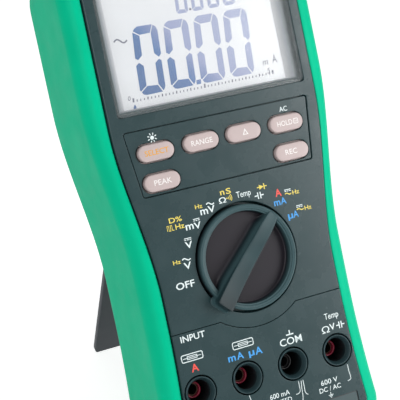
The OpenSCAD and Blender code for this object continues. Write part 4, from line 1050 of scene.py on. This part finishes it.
WORDS = {
    "white": [("OFF", -25.8, 38.9, 2.5, 7.3, 0.015), ("V", -23.4, 45.4, 2.4, 2.9, 0.015),
        ("V", -21.3, 52.5, 2.4, 2.8, 0.015), ("m", -19.6, 58.6, 1.9, 3.1, 0.015),
        ("V", -16.5, 58.5, 2.4, 2.7, 0.015), ("m", -12.9, 62.6, 1.9, 3.0, 0.015),
        ("V", -9.9, 63.0, 2.5, 2.8, 0.015), ("\u03a9", -5.0, 65.1, 2.1, 2.8, 0.012),
        ("Temp", 3.7, 65.3, 3.0, 5.8, 0.002), ("INPUT", -27.2, 20.2, 2.3, 9.6, 0.012),
        ("COM", 10.4, 8.6, 2.7, 9.2, 0.006), ("Temp", 28.9, 13.0, 3.0, 6.0, 0.002),
        ("\u03a9", 25.4, 8.7, 2.6, 3.2, 0.004), ("V", 28.4, 9.1, 2.4, 2.3, 0.015),
        ("600 mA", 1.6, -9.6, 1.9, 8.2, 0.004), ("FUSED", 2.6, -12.3, 1.8, 7.0, 0.004),
        ("600 V", 22.6, -10.4, 1.9, 7.2, 0.004), ("DC / AC", 22.4, -13.1, 1.8, 9.2, 0.004)],
    "yellow": [("Hz", -27.2, 47.5, 1.5, 3.0, 0.012), ("D%", -24.4, 62.4, 1.9, 5.0, 0.012),
        ("Hz", -23.2, 59.8, 1.9, 3.5, 0.012), ("Hz", -14.6, 65.0, 1.5, 2.9, 0.012),
        ("n", -4.5, 67.7, 1.5, 1.7, 0.015), ("S", -2.0, 67.9, 2.1, 2.0, 0.015), ("Hz", 24.7, 61.7, 1.6, 2.9, 0.012),
        ("Hz", 28.4, 55.0, 1.6, 2.9, 0.012)],
    "blue": [("m", 16.3, 59.2, 1.8, 2.6, 0.018), ("A", 19.0, 59.6, 2.5, 2.3, 0.018),
        ("\u00b5", 20.6, 53.0, 2.4, 2.1, 0.018), ("A", 22.9, 53.7, 2.5, 2.2, 0.018),
        ("m", -14.1, 8.4, 1.9, 3.0, 0.018), ("A", -10.7, 8.75, 2.6, 2.8, 0.018),
        ("\u00b5", -6.1, 8.0, 2.5, 2.3, 0.018), ("A", -3.1, 8.6, 2.7, 2.9, 0.018)],
    "red": [("A", 17.5, 62.9, 2.8, 2.6, 0.02), ("A", -28.8, 9.3, 2.8, 2.9, 0.02)]}


def make_labels():
    prints = {name: Marks() for name in WORDS}
    for name, words in WORDS.items():
        for word in words:
            prints[name].word(*word)
    white, yellow = prints["white"], prints["yellow"]
    for spot in ((-21.3, 54.6, 2.7), (-16.5, 60.6, 2.5), (21.5, 62.95, 2.6), (25.0, 56.2, 2.6)):
        white.steady(*spot)
    white.wave(-23.4, 47.7, 3.3, 0.8, 0.4)
    white.wave(-10.0, 65.0, 3.1, 0.8, 0.4)
    white.capacitor(9.8, 63.6, 3.7, 2.4, 0.42)
    for x in (-28.1, -26.86):
        yellow.line([(x, 58.9), (x, 60.7)], 0.2)
        yellow.line([(x + 0.62, 58.9), (x + 0.62, 60.7)], 0.2)
        yellow.line([(x - 0.1, 60.7), (x + 0.72, 60.7)], 0.24)
        yellow.line([(x + 0.52, 58.9), (x + 1.34, 58.9)], 0.24)
    yellow.sound(-3.1, 65.4, 1.35)
    yellow.diode(11.5, 66.5)
    yellow.wave(21.5, 61.65, 2.6, 0.6, 0.36)
    yellow.wave(25.1, 55.0, 2.8, 0.6, 0.36)
    for x, y in ((-29.0, 13.3), (-8.7, 12.6)):
        white.fused(x, y, 8.6, 2.9)
    white.line([(8.9, 10.95), (12.0, 10.95)], 0.45)
    white.line([(10.5, 10.95), (10.5, 12.6)], 0.45)
    white.capacitor(31.9, 9.0, 3.5, 2.6, 0.42)
    for route in (((10.1, -6.9), (10.1, -9.5), (10.0, -10.7), (9.3, -11.3), (8.1, -11.4)),
                  ((11.2, -7.0), (10.9, -9.7), (10.7, -12.8), (10.4, -14.2)),
                  ((12.0, -6.9), (12.0, -9.4), (11.9, -11.3), (12.3, -12.3), (13.0, -12.7)),
                  ((31.5, -6.4), (31.5, -8.7), (31.8, -10.8), (31.8, -11.9), (31.3, -12.3), (30.3, -12.5)),
                  ((-10.4, -6.4), (-10.1, -8.2), (-10.1, -13.2), (-9.8, -14.0), (-9.0, -14.4), (9.6, -14.4),
                   (10.4, -14.2))):
        white.line(route, 0.24)
    white.line([(22.2, -14.5), (22.2, -15.6)], 0.26)
    for half, y in ((1.0, -15.6), (0.6, -16.05), (0.22, -16.5)):
        white.line([(22.2 - half, y), (22.2 + half, y)], 0.24)
    for name, marks in prints.items():
        marks.make(f"print_{name}", PRINT[name])
    backlight = Marks(KEYPAD[1].z)
    backlight.sun(-26.4, 92.5)
    backlight.word("AC", 26.6, 92.6, 1.8, 3.3, 0.004)
    backlight.make("print_keypad", PRINT["white"])


KEY_WORDS = {"mode": ("SELECT", 9.2, 0, PRINT["orange"]), "range": ("RANGE", 8.4, 0, PRINT["pale"]),
             "relative": ("", 0, 0, PRINT["pale"]), "hold": ("HOLD", 6.3, -0.9, PRINT["pale"]),
             "peak": ("PEAK", 6.8, 0, PRINT["pale"]), "record": ("REC", 4.9, -0.6, PRINT["pale"])}


def make_key_words():
    for name, (text, wide, aside, material) in KEY_WORDS.items():
        low, high = BUTTON_BOX[name]
        marks = Marks(high.z - 0.02, 0.05)
        x, y = (low.x + high.x) / 2, (low.y + high.y) / 2
        if text:
            marks.word(text, x + aside, y, 1.95, wide, 0.006)
        else:
            marks.patch([(x - 0.9, y - 1.0), (x + 1.5, y - 1.0), (x + 0.3, y + 1.35)],
                        [(x - 0.3, y - 0.7), (x + 0.9, y - 0.7), (x + 0.3, y + 0.6)])
        if name == "hold":
            marks.patch(rounded(x + 2.7, x + 4.7, y - 1.0, y + 1.0, 0.4, 3),
                        rounded(x + 2.95, x + 4.45, y - 0.75, y + 0.75, 0.2, 3))
            marks.word("H", x + 3.7, y, 0.95, 0.8, 0)
        marks.make(f"word_{name}", material, f"button_{name}")


make_input_panel()
make_display()
make_labels()
make_key_words()


# ---- finishes of the nodes that keep their solids ----
def inner_finishes():
    board = Nodes("board_laminate_looks", 0.32, Coat_Weight=0.4)
    board.look(Base_Color=board.ramp(board.noise(220, 4), [(0.35, rgb(16, 84, 52)), (0.65, rgb(24, 104, 64))]),
               Normal=board.bump(board.noise(2600, 3), 0.00001))
    for material, nodes in (
            (BEZEL_PAINTED_SHADE, "display_bezel"), (GLASS, "display_glass"), (LENS, "display_lens"),
            (DARK, "rear_case battery_door"), (board.material, "display_board main_board"),
            # The COM socket takes black plastic instead of metal: painted shade for its dark well.
            (SOCKET, "socket_a socket_ma socket_v"), (BLACK_AND_PAINTED_SHADE, "socket_com"), (COPPER, "current_shunt"),
            (BRASS, "rotor_contacts contact_tracks fuse_clips"),
            (STEEL, "door_screws case_screws detent_springs detent_balls board_screws shield_plate"),
            (moulded("seal_rubber_looks", rgb(34, 34, 36), 0.6),
             "case_gasket connector_strips contact_pills knob_seal battery_snap"),
            (moulded("chip_epoxy_looks", rgb(40, 41, 44), 0.6, 3000, 0.00001),
             "processor_chip measuring_chip buzzer"),
            (moulded("acetal_plastic_looks", rgb(226, 224, 214), 0.45, 2400, 0.000012, 0.03),
             "display_holder knob_shaft contact_rotor detent_ring detent_carrier"),
            (moulded("light_plastic_looks", rgb(236, 240, 242), 0.3, 1500, 0.000008, 0.02), "light_guide"),
            (moulded("key_silicone_looks", rgb(190, 188, 182), 0.5, 1800, 0.00002, 0.03), "keypad_mat"),
            (moulded("part_lacquer_looks", rgb(52, 98, 170), 0.3, 1800, 0.00001, 0.08),
             "input_protection input_resistors capacitors"),
            (moulded("fuse_ceramic_looks", rgb(228, 226, 220), 0.28, 2600, 0.000006, 0.03), "fuse_large fuse_small"),
            (moulded("battery_shell_looks", rgb(58, 62, 70), 0.3, 900, 0.000008, 0.08, Metallic=0.6), "battery"),
            (moulded("lead_insulation_looks", rgb(140, 36, 36), 0.45, 2400, 0.00001), "battery_leads")):
        for node in nodes.split():
            target = frame["nodes"][node]
            if not target.material_slots:
                target.data.materials.append(material)
            for each in target.material_slots:
                each.material = material


inner_finishes()


# ---- floor, light and camera ----
FLOOR_LIFT = 0.62
WORLD_LIGHT = 0.25
LAMPS = {"key_light": ((-0.98, -0.72, 0.92), (0, 0, 0.09), (0.9, 0.9), 10.8),
         "side_light": ((0.42, -0.42, 0.26), (0.03, -0.03, 0.09), (0.26, 0.45), 2.7)}
CAMERA_AT = (-180.9, 100.4, 400.3)
CAMERA_FORWARD = (0.3846, -0.0765, -0.9199)
CAMERA_RIGHT = (0.8967, -0.2055, 0.3919)
CAMERA_LENS = 109.5


def direct_rays(tree):
    """1 for rays that show the backdrop itself: from the camera, through glass or mirrored by gloss."""
    path = tree.add("LightPath").outputs
    seen = tree.operate("Math", "MAXIMUM", path["Is Camera Ray"], path["Is Glossy Ray"])
    return tree.operate("Math", "MAXIMUM", seen, path["Is Transmission Ray"])


def make_stage():
    bpy.ops.mesh.primitive_plane_add(size=6, location=(0, 0, 0))
    floor = bpy.context.object
    floor.name = "floor"
    material = bpy.data.materials.new("floor_looks")
    material.use_nodes = True
    looks = Tree(material.node_tree)
    lift = looks.operate("Math", "MULTIPLY", direct_rays(looks), FLOOR_LIFT)
    looks.fill(looks.tree.nodes["Principled BSDF"], {
        "Base Color": (0.86, 0.86, 0.86, 1), "Roughness": 0.7, "Emission Color": (1, 1, 1, 1),
        "Emission Strength": lift})
    floor.data.materials.append(material)
    world = bpy.data.worlds.new("studio")
    bpy.context.scene.world = world
    world.use_nodes = True
    sky = Tree(world.node_tree)
    sky.tree.nodes.clear()
    dim, white = (sky.add("Background", Color=(1, 1, 1, 1), Strength=strength) for strength in (WORLD_LIGHT, 1.0))
    mix = sky.add("MixShader", Fac=direct_rays(sky))
    sky.put(mix.inputs[1], dim.outputs[0])
    sky.put(mix.inputs[2], white.outputs[0])
    sky.add("OutputWorld", Surface=mix.outputs[0])


def lamp(name, place, target, size, power):
    data = bpy.data.lights.new(name, "AREA")
    data.shape = "RECTANGLE"
    data.size, data.size_y = size
    data.energy = power
    added = add_object(name, data)
    added.location = place
    added.rotation_euler = (Vector(target) - Vector(place)).to_track_quat("-Z", "Y").to_euler()


def make_camera():
    """Camera of the photograph, from its place and directions in the face's frame."""
    data = bpy.data.cameras.new("camera")
    data.lens = CAMERA_LENS
    data.sensor_width = 36
    camera = add_object("camera", data)
    place = TO_WORLD @ Vector(CAMERA_AT)
    turn = TO_WORLD.to_3x3().normalized()
    forward = (turn @ Vector(CAMERA_FORWARD)).normalized()
    right = (turn @ Vector(CAMERA_RIGHT)).normalized()
    up = right.cross(forward).normalized()
    right = forward.cross(up)
    camera.matrix_world = Matrix.Translation(place) @ Matrix((right, up, -forward)).transposed().to_4x4()
    bpy.context.scene.camera = camera


make_stage()
for name, settings in LAMPS.items():
    lamp(name, *settings)
make_camera()
bpy.context.scene.view_settings.view_transform = "Standard"
